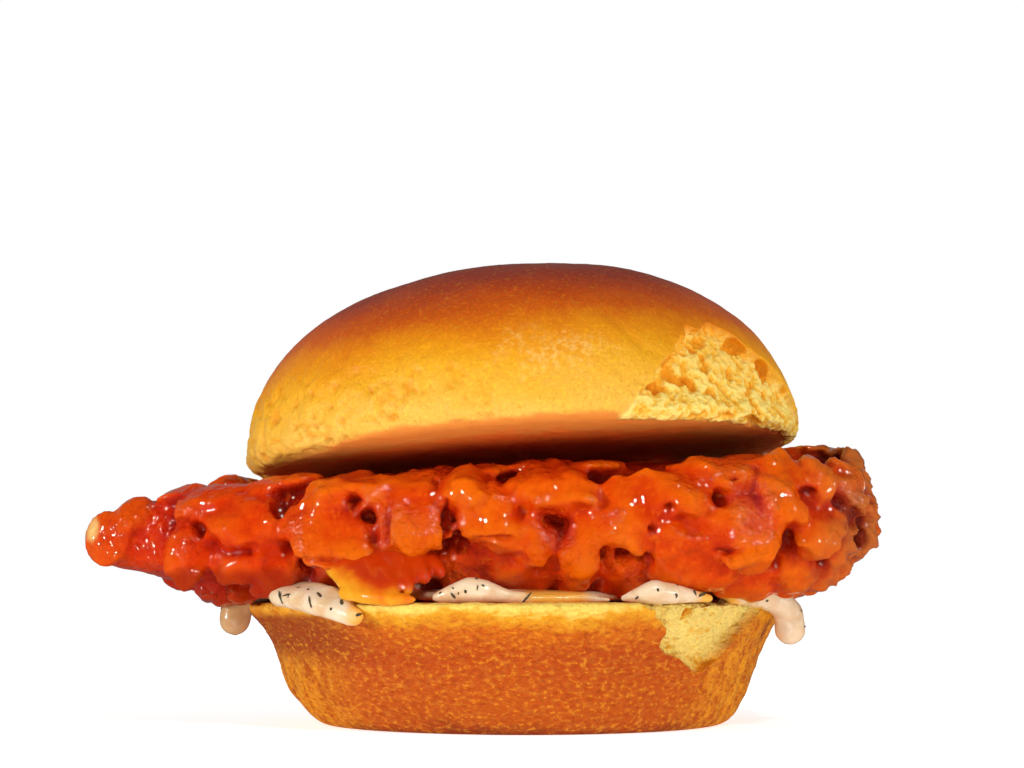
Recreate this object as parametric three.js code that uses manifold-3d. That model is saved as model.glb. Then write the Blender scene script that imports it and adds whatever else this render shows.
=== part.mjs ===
// A chicken burger: a soft round bun round one long crisp chicken strip glazed with hot sauce,
// on a layer of herbed white sauce that has run over the rim of the heel.
// Millimetres, +Z up, and the front of the burger faces -Y.
// The origin is the middle of the heel's flat underside, where the burger stands on the table.
import * as THREE from "three";
import { ImprovedNoise } from "three/addons/math/ImprovedNoise.js";
import { mergeVertices } from "three/addons/utils/BufferGeometryUtils.js";
import Module from "manifold-3d";

const wasm = await Module();
wasm.setup();

// Driving dimensions
const TOUCH_GAP = 0.3; // left free between two pieces that touch
const SLIVER = 0.05; // edges shorter than this that a cut leaves are closed up

const HEEL = {
  height: 18,
  floorRadius: 30,
  waistRadius: 34.3,
  rimRadius: 40.4,
  rightFullness: 1.1, // the right side leans out sooner than the left
  leftRounding: 2.4, // the foot is rounder on the left
  segments: 56,
  curveSteps: 4,
};

const CROWN = {
  radius: 41.6,
  height: 28.6,
  fullness: 2.3, // exponent of the dome's outline, 2 is an ellipse
  lip: 3.4, // height of the rounded lower edge
  lipInset: 3,
  centre: new THREE.Vector3(1.4, 0, 39.6),
  frontUp: 3.5, // degrees
  rightUp: 3.7, // degrees
  segments: 56,
  domeSteps: 9,
};

// Where each half of the bun was pulled from its neighbour: a shallow torn hollow of bare crumb.
// Angles are in degrees: where it reaches furthest from the cut, and how far it goes to either side.
const CROWN_TEAR = {
  angle: -45,
  left: 30,
  right: 50,
  peak: 1.2,
  reach: 15,
  depth: 1.6,
  edge: 2.4,
  rough: 0.5,
};
const HEEL_TEAR = { angle: -46, left: 18, right: 18, peak: 2, reach: 9.6, depth: 2.6, edge: 2.2, rough: 0.4 };

// The strip's girth along its length: x, middle y, middle z, half width, half height.
const STRIP_STATIONS = [
  [-63.4, -5.0, 26.8, 3.6, 3.4],
  [-59.6, -5.0, 27.3, 4.8, 4.2],
  [-55.6, -5.0, 27.6, 7.0, 5.2],
  [-50.0, -4.7, 27.5, 11.0, 6.7],
  [-41.0, -4.3, 27.4, 16.3, 8.1],
  [-25.0, -3.8, 28.4, 23.0, 8.8],
  [0.0, -3.5, 29.2, 27.5, 9.4],
  [25.0, -3.5, 29.7, 28.0, 9.7],
  [40.0, -4.0, 30.2, 24.0, 9.8],
  [47.6, -4.5, 31.4, 17.0, 7.8],
  [52.0, -5.0, 32.6, 9.0, 4.0],
];
const STRIP = { boxiness: 3, tipRound: 5, rings: 40, around: 30, plainness: 0.3 };

// Batter crags on the side that faces front: x, z, length, height, how far it stands out, turn in degrees.
const FRONT_CRAGS = [
  [-60.4, 27.4, 7.4, 6.8, 1.2, 0],
  [-56.4, 30.8, 5.5, 5.0, 1.5, 10],
  [-47.3, 25.0, 7.0, 8.5, 2.2, 20],
  [-43.8, 32.6, 11.0, 6.0, 2.0, 12],
  [-38.9, 29.6, 12.0, 7.5, 2.6, -8],
  [-38.2, 24.7, 9.5, 6.4, 2.2, 15],
  [-26.3, 27.2, 13.5, 8.6, 3.0, -22],
  [-23.9, 33.2, 12.5, 6.6, 3.0, 4],
  [-14.3, 29.2, 10.0, 9.5, 2.6, 80],
  [-13.6, 22.4, 11.0, 6.4, 2.4, 0],
  [-6.9, 33.4, 5.5, 8.6, 3.2, 8],
  [-3.2, 29.6, 8.0, 9.0, 3.4, 30],
  [5.2, 33.0, 12.0, 6.6, 3.2, -6],
  [2.4, 27.6, 5.0, 8.0, 2.6, 0],
  [1.2, 22.9, 11.0, 8.4, 3.2, 6],
  [9.6, 25.8, 7.0, 11.0, 3.0, -35],
  [15.4, 30.4, 9.5, 9.5, 2.8, -40],
  [21.6, 32.8, 9.0, 6.5, 2.8, -25],
  [27.0, 35.6, 11.5, 6.0, 2.4, -18],
  [24.2, 24.4, 13.0, 10.2, 2.8, -15],
  [31.2, 27.8, 11.0, 9.5, 3.8, -45],
  [36.2, 33.4, 6.5, 11.0, 3.4, -10],
  [41.2, 35.0, 6.0, 6.5, 3.0, 0],
  [41.6, 28.6, 8.0, 8.0, 3.0, 15],
  [46.2, 34.0, 8.0, 7.5, 2.8, 0],
  [42.6, 22.6, 8.5, 6.5, 2.6, 25],
  [49.6, 30.4, 5.0, 9.0, 2.4, 20],
  [-49.6, 33.8, 7.5, 5.0, 1.8, 8],
  [43.4, 39.6, 9.0, 6.0, 1.6, 0],
  // the lowest ones hang down to the rim
  [-33.0, 22.0, 9.0, 7.0, 3.4, 0],
  [-24.0, 22.0, 9.5, 7.6, 3.8, 10],
  [-15.5, 22.0, 9.0, 7.6, 3.8, -10],
  [-7.0, 22.2, 9.0, 7.6, 3.6, 5],
  [7.5, 22.0, 8.0, 7.6, 3.8, 0],
  [14.0, 22.2, 8.5, 7.6, 3.8, 10],
  [31.5, 22.2, 9.0, 7.4, 3.6, 0],
  [38.0, 22.6, 8.0, 7.0, 3.2, 0],
];

// Every crag spreads wider under the skin than its stated size, and is this lumpy.
const CRAG = { spread: 1.25, lumpiness: 0.35, lumpsPerRadius: 1.7 };

// Crags on the sides that the front view hides, spread evenly by rule: around is measured from the front.
const OTHER_CRAGS = {
  seed: 71,
  columns: 11,
  firstX: -55,
  lastX: 45,
  firstAngle: 100,
  lastAngle: 300,
  widest: 5,
  smallest: 6.5,
  largest: 11.5,
  proud: 2.2,
};

// Folds of batter round the blunt end.
const END_CRAGS = {
  upperX: 49.4,
  lowerX: 47.6,
  count: 7,
  firstAngle: -70,
  length: 8,
  height: 6.2,
  proud: 1.4,
  topProud: 0.8,
  turn: 65,
};

// White sauce: an uneven puddle, and drops of it where it is squeezed out and runs over the rim.
// A drop's size is half its length along the rim, half its depth towards the middle and half its height.
const PUDDLE = {
  radius: 32.8,
  halfHeight: 1,
  middle: new THREE.Vector3(0, -0.5, 18.9),
  boxiness: 3,
  plainness: 0.12,
};
const DROPS = [
  // squeezed out under the strip
  { at: [-5.6, -34.6, 19.1], size: [6.6, 3.6, 1.6] },
  { at: [20.2, -31.2, 19.1], size: [6.6, 3.8, 1.5] },
  { at: [16.0, 31.5, 19.3], size: [7.5, 3.8, 2.1] },
  { at: [-18.0, 29.5, 19.3], size: [6.0, 4.2, 2.0] },
  // over the front left of the rim and slantwise down the wall
  { at: [-28.4, -23.6, 19.1], size: [6.6, 5.6, 1.9] },
  { at: [-29.0, -27.8, 18.1], size: [5.0, 2.4, 2.0] },
  { at: [-25.0, -31.4, 17.2], size: [4.4, 2.2, 2.0] },
  // a drop that hangs on the left
  { at: [-36.2, -6.6, 19.2], size: [4.2, 5.4, 1.7] },
  { at: [-41.2, -7.2, 17.6], size: [2.4, 2.5, 2.3] },
  { at: [-41.6, -7.2, 15.7], size: [2.3, 2.4, 2.5] },
  // over the rim on the right
  { at: [33.2, -16.6, 19.1], size: [6.6, 5.8, 1.8] },
  { at: [39.0, -15.0, 17.6], size: [3.6, 2.6, 2.5] },
  { at: [39.5, -14.4, 14.8], size: [2.5, 2.4, 2.9] },
  // a short run at the back
  { at: [24.0, 27.8, 19.2], size: [5.6, 5.6, 2.0] },
  { at: [26.0, 30.8, 17.3], size: [3.6, 2.5, 2.8] },
  { at: [25.8, 30.6, 15.5], size: [2.5, 2.3, 2.5] },
];

const { degToRad, clamp, smoothstep } = THREE.MathUtils;
const perlin = new ImprovedNoise();

// The same repeatable numbers from 0 to 1 on every machine.
function dice(seed) {
  let state = seed;
  return () => {
    state = (state * 16807) % 2147483647;
    return state / 2147483647;
  };
}

// Only positions, shared by the triangles that meet, and no triangle without an area.
function welded(geometry) {
  geometry.deleteAttribute("normal");
  geometry.deleteAttribute("uv");
  const merged = mergeVertices(geometry, 1e-4);
  const corners = [];
  for (let i = 0; i < merged.index.count; i += 3) {
    const [a, b, c] = [0, 1, 2].map((k) => merged.index.getX(i + k));
    if (a !== b && b !== c && c !== a) corners.push(a, b, c);
  }
  merged.setIndex(corners);
  return merged;
}

// Moves every vertex with move(point), which changes the point in place.
function reshaped(geometry, move) {
  const positions = geometry.getAttribute("position");
  const point = new THREE.Vector3();
  for (let i = 0; i < positions.count; i++) {
    point.fromBufferAttribute(positions, i);
    move(point);
    positions.setXYZ(i, point.x, point.y, point.z);
  }
  return geometry;
}

function solidFrom(geometry) {
  const triVerts = new Uint32Array(geometry.index.array);
  const vertProperties = new Float32Array(geometry.getAttribute("position").array);
  const solid = new wasm.Manifold(new wasm.Mesh({ numProp: 3, vertProperties, triVerts }));
  if (solid.volume() >= 0) return solid;
  for (let i = 0; i < triVerts.length; i += 3) {
    [triVerts[i + 1], triVerts[i + 2]] = [triVerts[i + 2], triVerts[i + 1]];
  }
  return new wasm.Manifold(new wasm.Mesh({ numProp: 3, vertProperties, triVerts }));
}

function geometryFrom(solid) {
  const { vertProperties, triVerts, numProp } = solid.getMesh();
  const positions = new Float32Array((vertProperties.length / numProp) * 3);
  for (let i = 0; i < positions.length / 3; i++) {
    for (let k = 0; k < 3; k++) positions[3 * i + k] = vertProperties[numProp * i + k];
  }
  const geometry = new THREE.BufferGeometry();
  geometry.setAttribute("position", new THREE.BufferAttribute(positions, 3));
  geometry.setIndex([...triVerts]);
  return geometry;
}

// The largest of the bodies that a cut leaves, so that no loose scrap stays.
function largestBody(solid) {
  return solid.decompose().reduce((best, body) => (body.volume() > best.volume() ? body : best));
}

// The same body with the triangles that matter less than the tolerance taken out.
function lighter(solid, tolerance) {
  return solid.asOriginal().simplify(tolerance);
}

// How deep the torn hollow is, from 0 to 1, at a place on the bun's side that is fromEdge away from the cut.
function tornShare(tear, angle, fromEdge) {
  const turned = THREE.MathUtils.radToDeg(angle) - tear.angle;
  const aside = Math.abs(turned) / (turned < 0 ? tear.left : tear.right);
  if (aside >= 1) return 0;
  return smoothstep(tear.reach * (1 - Math.pow(aside, tear.peak)) - fromEdge, 0, tear.edge);
}

// Moves a point on the bun's side straight in towards the axis.
function drawIn(point, depth) {
  const radius = Math.hypot(point.x, point.y);
  point.x *= (radius - depth) / radius;
  point.y *= (radius - depth) / radius;
}

function turned(outline, segments) {
  return welded(new THREE.LatheGeometry(outline, segments).rotateX(Math.PI / 2));
}

// The bottom half: flat underside, steep wall, flared rim and a flat cut face.
function heelGeometry(grow = 0) {
  const { height, floorRadius, waistRadius, rimRadius, rightFullness, leftRounding } = HEEL;
  const path = new THREE.Path();
  path.moveTo(0, 0);
  path.lineTo(floorRadius, 0);
  path.quadraticCurveTo(waistRadius - 1.2, 0.2, waistRadius, height * 0.3);
  path.quadraticCurveTo(waistRadius + 0.8, height * 0.62, rimRadius - 1.6, height * 0.86);
  path.quadraticCurveTo(rimRadius + 1.2, height, rimRadius - 1.6, height);
  path.lineTo(0, height);
  const geometry = turned(path.getPoints(HEEL.curveSteps), HEEL.segments);
  return reshaped(geometry, (point) => {
    const radius = Math.hypot(point.x, point.y);
    if (radius > floorRadius - 0.1) {
      const angle = Math.atan2(point.y, point.x);
      const onWall = Math.sin(Math.PI * clamp((point.z - 3) / (height - 3), 0, 1));
      const uneven = 0.3 * Math.sin(2 * angle + 0.6) + 0.3 * Math.sin(3 * angle - 1.1);
      const lean = rightFullness * Math.max(0, Math.cos(angle)) * onWall;
      const torn = tornShare(HEEL_TEAR, angle, height - point.z);
      const rough = HEEL_TEAR.rough * perlin.noise(point.x * 0.4, point.y * 0.4, point.z * 0.4);
      const foot = leftRounding * Math.max(0, -Math.cos(angle)) * (1 - smoothstep(point.z, 0, height * 0.4));
      drawIn(point, torn * (HEEL_TEAR.depth + rough) + foot - uneven - lean - grow);
    }
    if (point.z > height / 2) point.z += grow * smoothstep(point.z, height / 2, height);
  });
}

// The top half in its own frame: a full dome over a flat cut face at z 0.
function crownGeometry(grow = 0) {
  const { radius, height, fullness, lip, lipInset } = CROWN;
  const path = new THREE.Path();
  path.moveTo(0, 0);
  path.lineTo(radius - lipInset, 0);
  path.quadraticCurveTo(radius, 0, radius, lip);
  const outline = path.getPoints(HEEL.curveSteps);
  const startAngle = Math.asin(Math.pow(lip / height, fullness / 2));
  for (let i = 1; i <= CROWN.domeSteps; i++) {
    const angle = startAngle + (Math.PI / 2 - startAngle) * (i / CROWN.domeSteps);
    outline.push(
      new THREE.Vector2(
        i === CROWN.domeSteps ? 0 : radius * Math.pow(Math.cos(angle), 2 / fullness),
        height * Math.pow(Math.sin(angle), 2 / fullness),
      ),
    );
  }
  return reshaped(turned(outline, CROWN.segments), (point) => {
    if (Math.hypot(point.x, point.y) > 1 && point.z < height - 1) {
      const angle = Math.atan2(point.y, point.x);
      const uneven = 0.4 * Math.sin(2 * angle + 2.2) + 0.3 * Math.sin(3 * angle + 0.4);
      const torn = tornShare(CROWN_TEAR, angle, point.z);
      const rough = CROWN_TEAR.rough * perlin.noise(point.x * 0.4, point.y * 0.4, point.z * 0.4 + 7);
      drawIn(point, torn * (CROWN_TEAR.depth + rough) - uneven - grow);
    }
    if (point.z < 0.01) point.z -= grow;
  });
}

function crownPlace() {
  const turn = new THREE.Euler(-degToRad(CROWN.frontUp), -degToRad(CROWN.rightUp), 0);
  const scale = new THREE.Vector3(1, 1, 1);
  return new THREE.Matrix4().compose(CROWN.centre, new THREE.Quaternion().setFromEuler(turn), scale);
}

// A closed limb with round ends. sectionAt(share, angle) gives a point of its skin.
function limb(around, rings, sectionAt) {
  const grid = new THREE.SphereGeometry(1, around, rings).rotateZ(Math.PI / 2);
  return reshaped(welded(grid), (point) => {
    const polar = Math.acos(clamp(-point.x, -1, 1));
    const share = 0.5 * (polar / Math.PI) + 0.25 * (1 - Math.cos(polar));
    point.copy(sectionAt(share, Math.atan2(point.z, -point.y)));
  });
}

// A smooth curve through the stations, read at x: [middle y, middle z, half width, half height].
function stationAt(x) {
  const last = STRIP_STATIONS.length - 1;
  let i = 0;
  while (i < last - 1 && x > STRIP_STATIONS[i + 1][0]) i++;
  const [before, from, to, after] = [i - 1, i, i + 1, i + 2].map((k) => STRIP_STATIONS[clamp(k, 0, last)]);
  const span = to[0] - from[0];
  const t = clamp((x - from[0]) / span, 0, 1);
  return [1, 2, 3, 4].map((k) => {
    const slopeIn = ((to[k] - before[k]) / (to[0] - before[0])) * span;
    const slopeOut = ((after[k] - from[k]) / (after[0] - from[0])) * span;
    const [t2, t3] = [t * t, t * t * t];
    const places = (2 * t3 - 3 * t2 + 1) * from[k] + (3 * t2 - 2 * t3) * to[k];
    return places + (t3 - 2 * t2 + t) * slopeIn + (t3 - t2) * slopeOut;
  });
}

// A point of the strip's skin: angle 0 faces front, 90 degrees is the top.
function stripSkin(x, angle) {
  const [middleY, middleZ, halfWidth, halfHeight] = stationAt(x);
  const fromEnd = Math.min(x - STRIP_STATIONS[0][0], STRIP_STATIONS.at(-1)[0] - x);
  const short = 1 - clamp(fromEnd / STRIP.tipRound, 0, 1);
  const round = Math.sqrt(1 - short * short);
  const squared = (value) => Math.sign(value) * Math.pow(Math.abs(value), 2 / STRIP.boxiness);
  return new THREE.Vector3(
    x,
    middleY - halfWidth * round * squared(Math.cos(angle)),
    middleZ + halfHeight * round * squared(Math.sin(angle)),
  );
}

// One crag: a lumpy flake of batter sunk into the strip's skin.
function crag(x, angle, length, height, proud, turn) {
  const seat = stripSkin(x, angle);
  const lengthwise = stripSkin(x + 0.3, angle).sub(stripSkin(x - 0.3, angle)).normalize();
  const around = stripSkin(x, angle + 0.05).sub(stripSkin(x, angle - 0.05));
  const outward = new THREE.Vector3().crossVectors(lengthwise, around).normalize();
  const along = lengthwise.applyAxisAngle(outward, degToRad(turn));
  const across = new THREE.Vector3().crossVectors(outward, along);
  const flake = welded(new THREE.IcosahedronGeometry(1, 1));
  const size = new THREE.Vector3((length / 2) * CRAG.spread, (height / 2) * CRAG.spread, proud);
  reshaped(flake, (point) => {
    const [u, v, w] = point.toArray().map((value) => value * CRAG.lumpsPerRadius);
    const lumpy = 1 + CRAG.lumpiness * perlin.noise(u + x, v + angle, w + length);
    point.multiplyScalar(lumpy).multiply(size);
  });
  const place = new THREE.Matrix4().makeBasis(along, across, outward).setPosition(seat);
  return solidFrom(flake.applyMatrix4(place));
}

function frontCrags() {
  return FRONT_CRAGS.map(([x, z, length, height, proud, turn]) => {
    const [, middleZ, , halfHeight] = stationAt(x);
    const rise = clamp((z - middleZ) / halfHeight, -0.98, 0.98);
    const angle = Math.asin(Math.sign(rise) * Math.pow(Math.abs(rise), STRIP.boxiness / 2));
    return crag(x, angle, length, height, proud, turn);
  });
}

function otherCrags() {
  const { seed, columns, firstX, lastX, firstAngle, lastAngle } = OTHER_CRAGS;
  const { widest, smallest, largest, proud } = OTHER_CRAGS;
  const throwDice = dice(seed);
  const made = [];
  for (let column = 0; column < columns; column++) {
    const share = column / (columns - 1);
    const rows = Math.max(2, Math.round(widest * Math.sqrt(Math.sin(Math.PI * (0.08 + 0.84 * share)))));
    for (let row = 0; row < rows; row++) {
      const x = firstX + (lastX - firstX) * share + 5 * (throwDice() - 0.5) + (row % 2) * 3;
      const spread = (row + 0.5 + 0.5 * (throwDice() - 0.5)) / rows;
      const angle = degToRad(firstAngle + (lastAngle - firstAngle) * spread);
      const length = smallest + (largest - smallest) * throwDice();
      const height = length * (0.6 + 0.3 * throwDice());
      const size = clamp(stationAt(x)[2] / 14, 0.5, 1);
      made.push(crag(x, angle, length * size, height * size, proud * size, 180 * throwDice()));
    }
  }
  return made;
}

function endCrags() {
  const { upperX, lowerX, count, firstAngle, length, height, proud, topProud, turn } = END_CRAGS;
  return Array.from({ length: count }, (_, i) => {
    const angle = degToRad(firstAngle + (360 * i) / count);
    const x = Math.sin(angle) < 0.3 ? lowerX : upperX;
    const out = Math.sin(angle) > 0.9 ? topProud : proud;
    return crag(x - 1.2 * (i % 2), angle, length, height, out, turn + 25 * (i % 3));
  });
}

// The strip, pressed flat where the bun and the white sauce touch it.
function stripGeometry(neighbours) {
  const [startX, endX] = [STRIP_STATIONS[0][0], STRIP_STATIONS.at(-1)[0]];
  const body = limb(STRIP.around, STRIP.rings, (share, angle) => {
    return stripSkin(startX + (endX - startX) * share, angle);
  });
  const crags = [...frontCrags(), ...otherCrags(), ...endCrags()];
  const whole = lighter(crags.reduce((joined, flake) => joined.add(flake), solidFrom(body)), STRIP.plainness);
  const pressed = neighbours.reduce((left, neighbour) => left.subtract(neighbour), whole);
  return geometryFrom(largestBody(lighter(largestBody(pressed), SLIVER)));
}

function puddleSolid(grow) {
  const { radius, halfHeight, middle, boxiness } = PUDDLE;
  const grid = welded(new THREE.SphereGeometry(1, 40, 8).rotateX(Math.PI / 2));
  return solidFrom(
    reshaped(grid, (point) => {
      const angle = Math.atan2(point.y, point.x);
      const broad = 0.05 * Math.sin(3 * angle + 1) + 0.035 * Math.sin(7 * angle);
      const wavy = 1 + broad + 0.02 * Math.sin(11 * angle + 2);
      const level = Math.sign(point.z) * Math.pow(Math.abs(point.z), 2 / boxiness);
      const flat = Math.pow(Math.hypot(point.x, point.y), 2 / boxiness);
      point.set(Math.cos(angle) * flat, Math.sin(angle) * flat, level);
      const reach = radius * wavy + grow;
      point.multiply(new THREE.Vector3(reach, reach, halfHeight + grow)).add(middle);
    }),
  );
}

function dropSolid({ at, size }, grow) {
  const ball = welded(new THREE.IcosahedronGeometry(1, 2));
  const radii = new THREE.Vector3(...size).addScalar(grow);
  const [x, y] = at;
  const turn = new THREE.Matrix4().makeRotationZ(Math.atan2(y, x) + Math.PI / 2).setPosition(...at);
  return solidFrom(reshaped(ball, (point) => point.multiply(radii)).applyMatrix4(turn));
}

function sauceSolid(grow = 0) {
  return DROPS.reduce((joined, drop) => joined.add(dropSolid(drop, grow)), puddleSolid(grow));
}

function piece(name, geometry, colour, roughness) {
  const shown = geometry.toNonIndexed();
  shown.computeVertexNormals();
  const material = new THREE.MeshStandardMaterial({ color: colour, roughness, metalness: 0 });
  const mesh = new THREE.Mesh(shown, material);
  mesh.name = name;
  return mesh;
}

const heelSpace = solidFrom(heelGeometry(TOUCH_GAP));
const crownSpace = solidFrom(crownGeometry(TOUCH_GAP).applyMatrix4(crownPlace()));
const sauce = largestBody(lighter(sauceSolid(), PUDDLE.plainness).subtract(heelSpace));
const strip = stripGeometry([heelSpace, crownSpace, sauceSolid(TOUCH_GAP)]);

const burger = new THREE.Group();
const crown = piece("bun_crown", crownGeometry(), 0xe8962a, 0.5);
crown.applyMatrix4(crownPlace());
burger.add(piece("bun_heel", heelGeometry(), 0xd0661c, 0.6));
burger.add(piece("white_sauce", geometryFrom(largestBody(lighter(sauce, SLIVER))), 0xf4dcb8, 0.25));
burger.add(piece("chicken_strip", strip, 0xdb4516, 0.2));
burger.add(crown);

export default burger;
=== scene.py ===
# A chicken burger on a pale table: a soft round bun, a long glazed chicken strip
# and herbed white sauce that runs over the rim of the heel.
import math

import bmesh
import bpy
import numpy as np
from mathutils import Matrix, Vector, noise
from mathutils.bvhtree import BVHTree


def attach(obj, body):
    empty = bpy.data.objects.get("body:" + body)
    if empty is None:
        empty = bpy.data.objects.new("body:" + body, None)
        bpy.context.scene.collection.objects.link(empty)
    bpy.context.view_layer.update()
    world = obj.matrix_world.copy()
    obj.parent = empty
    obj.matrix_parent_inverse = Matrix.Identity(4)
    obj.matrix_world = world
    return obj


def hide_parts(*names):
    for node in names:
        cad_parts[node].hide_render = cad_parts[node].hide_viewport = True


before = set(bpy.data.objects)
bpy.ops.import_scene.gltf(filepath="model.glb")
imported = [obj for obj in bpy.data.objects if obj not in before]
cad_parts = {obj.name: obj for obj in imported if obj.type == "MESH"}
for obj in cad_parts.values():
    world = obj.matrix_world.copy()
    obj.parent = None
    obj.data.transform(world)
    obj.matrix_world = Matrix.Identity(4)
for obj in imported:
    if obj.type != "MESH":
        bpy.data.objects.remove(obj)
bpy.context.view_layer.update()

# Driving dimensions in millimetres. The bun, the strip's girth and the sauce layer have the sizes
# of the part's source.
HEEL = dict(height=18.0, floor=30.0, waist=34.3, rim=40.4, right_fullness=1.1, left_rounding=2.4)
CROWN = dict(radius=41.6, height=28.6, fullness=2.3, lip=3.4, lip_inset=3.0)
CROWN_PLACE = (
    Matrix.Translation((1.4, 0.0, 39.6))
    @ Matrix.Rotation(math.radians(-3.5), 4, "X")
    @ Matrix.Rotation(math.radians(-3.7), 4, "Y")
)
# On the crown's front: smooth pits in the torn crumb, each with its x, z, half length, half height
# and depth, and the two ends of a faint crease.
CROWN_PITS = [
    (31.1, 54.4, 2.0, 1.1, 1.3),
    (35.6, 51.8, 1.0, 1.9, 1.2),
    (22.0, 48.6, 2.2, 0.7, 0.7),
    (33.4, 43.6, 1.2, 0.9, 0.8),
    (25.4, 54.4, 1.2, 0.9, 0.7),
]
CROWN_CREASE = (Vector((12.0, 58.0)), Vector((17.8, 52.2)))
CROWN_TEAR = dict(angle=-45.0, left=30.0, right=50.0, peak=1.2, reach=15.0, depth=1.6, edge=2.4)
HEEL_TEAR = dict(angle=-46.0, left=18.0, right=18.0, peak=2.0, reach=9.6, depth=2.6, edge=2.2)
# How many points go round each half of the bun and how many from its top to its foot
CROWN_GRID = (440, 142)
HEEL_GRID = (440, 112)

# The strip's girth along its length: x, middle y, middle z, half width, half height.
STRIP_STATIONS = [
    (-63.4, -5.0, 26.8, 3.6, 3.4),
    (-59.6, -5.0, 27.3, 4.8, 4.2),
    (-55.6, -5.0, 27.6, 7.0, 5.2),
    (-50.0, -4.7, 27.5, 11.0, 6.7),
    (-41.0, -4.3, 27.4, 16.3, 8.1),
    (-25.0, -3.8, 28.4, 23.0, 8.8),
    (0.0, -3.5, 29.2, 27.5, 9.4),
    (25.0, -3.5, 29.7, 28.0, 9.7),
    (40.0, -4.0, 30.2, 24.0, 9.8),
    (47.6, -4.5, 31.4, 17.0, 7.8),
    (52.0, -5.0, 32.6, 9.0, 4.0),
]
STRIP_BOXINESS = 3.0
STRIP_TIP_ROUND = 5.0
# What the strip keeps clear of: the crown's cut face by this gap, and all below this height on the heel
STRIP_GAP = 0.3
STRIP_UNDERSIDE = 18.6

# Batter crags on the front: x, z, length, height, how far it stands out, turn in degrees.
FRONT_CRAGS = [
    (-60.4, 27.4, 7.4, 6.8, 1.2, 0),
    (-56.4, 30.8, 5.5, 5.0, 1.5, 10),
    (-47.3, 25.0, 7.0, 8.5, 2.2, 20),
    (-43.8, 32.6, 11.0, 6.0, 2.0, 12),
    (-38.9, 29.6, 12.0, 7.5, 2.6, -8),
    (-38.2, 24.7, 9.5, 6.4, 2.2, 15),
    (-26.3, 27.2, 13.5, 8.6, 3.0, -22),
    (-23.9, 33.2, 12.5, 6.6, 3.0, 4),
    (-14.3, 29.2, 10.0, 9.5, 2.6, 80),
    (-13.6, 22.4, 11.0, 6.4, 2.4, 0),
    (-6.9, 33.4, 5.5, 8.6, 3.2, 8),
    (-3.2, 29.6, 8.0, 9.0, 3.4, 30),
    (5.2, 33.0, 12.0, 6.6, 3.2, -6),
    (2.4, 27.6, 5.0, 8.0, 2.6, 0),
    (1.2, 22.9, 11.0, 8.4, 3.2, 6),
    (9.6, 25.8, 7.0, 11.0, 3.0, -35),
    (15.4, 30.4, 9.5, 9.5, 2.8, -40),
    (21.6, 32.8, 9.0, 6.5, 2.8, -25),
    (27.0, 35.6, 11.5, 6.0, 2.4, -18),
    (24.2, 24.4, 13.0, 10.2, 2.8, -15),
    (31.2, 27.8, 11.0, 9.5, 3.8, -45),
    (36.2, 33.4, 6.5, 11.0, 3.4, -10),
    (41.2, 35.0, 6.0, 6.5, 3.0, 0),
    (41.6, 28.6, 8.0, 8.0, 3.0, 15),
    (46.2, 34.0, 8.0, 7.5, 2.8, 0),
    (42.6, 22.6, 8.5, 6.5, 2.6, 25),
    (49.6, 30.4, 5.0, 9.0, 2.4, 20),
    (-48.6, 33.6, 7.0, 4.8, 1.5, 8),
    (43.4, 39.6, 9.0, 6.0, 0.9, 0),
    (-33.0, 22.0, 9.0, 7.0, 3.4, 0),
    (-24.0, 22.0, 9.5, 7.6, 3.8, 10),
    (-15.5, 22.0, 9.0, 7.6, 3.8, -10),
    (-7.0, 22.2, 9.0, 7.6, 3.6, 5),
    (7.5, 22.0, 8.0, 7.6, 3.8, 0),
    (14.0, 22.2, 8.5, 7.6, 3.8, 10),
    (31.5, 22.2, 9.0, 7.4, 3.6, 0),
    (38.0, 22.6, 8.0, 7.0, 3.2, 0),
    (-34.0, 34.6, 12.0, 5.4, 1.6, 0),
    (-12.5, 35.6, 9.0, 6.6, 1.2, 15),
    (-4.5, 36.4, 8.0, 6.6, 1.0, -20),
    (3.0, 37.0, 9.0, 6.0, 1.2, 10),
    (10.5, 37.0, 8.0, 6.6, 1.0, -12),
    (33.0, 37.4, 10.0, 6.0, 1.4, 8),
]
# Dark hollows between the lobes: x, z, radius along x, radius along z, depth.
FRONT_HOLLOWS = [
    (-22.6, 31.8, 1.5, 1.5, 2.4),
    (-39.0, 25.0, 3.6, 0.6, 1.1),
    (-27.0, 23.8, 5.0, 0.6, 1.1),
    (12.1, 24.1, 0.9, 2.0, 2.4),
    (4.8, 29.4, 1.1, 0.4, 1.0),
    (-13.0, 20.0, 2.4, 1.2, 2.0),
    (-9.7, 28.4, 0.6, 4.2, 1.9),
    (18.6, 28.0, 0.7, 1.1, 1.7),
    (20.8, 30.8, 0.8, 1.0, 1.7),
    (29.8, 35.1, 0.9, 0.5, 1.5),
    (40.5, 33.4, 1.4, 0.6, 1.3),
    (-18.0, 29.0, 0.6, 4.2, 1.2),
    (-3.1, 26.6, 3.0, 0.6, 1.5),
    (28.7, 25.2, 2.6, 0.6, 1.5),
]
# How much wider a crag is than its row says, how far its lower edge hangs forward and right of
# which x, and how strong and how close its lumps are.
CRAG_SPREAD = 1.25
CRAG_HANG = 1.1
CRAG_HANG_FROM = -50.0
CRAG_LUMPINESS = 0.27
CRAG_LUMPS = 1.7
# How many small knobs the back and the underside have
KNOB_COUNT = 110

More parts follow.
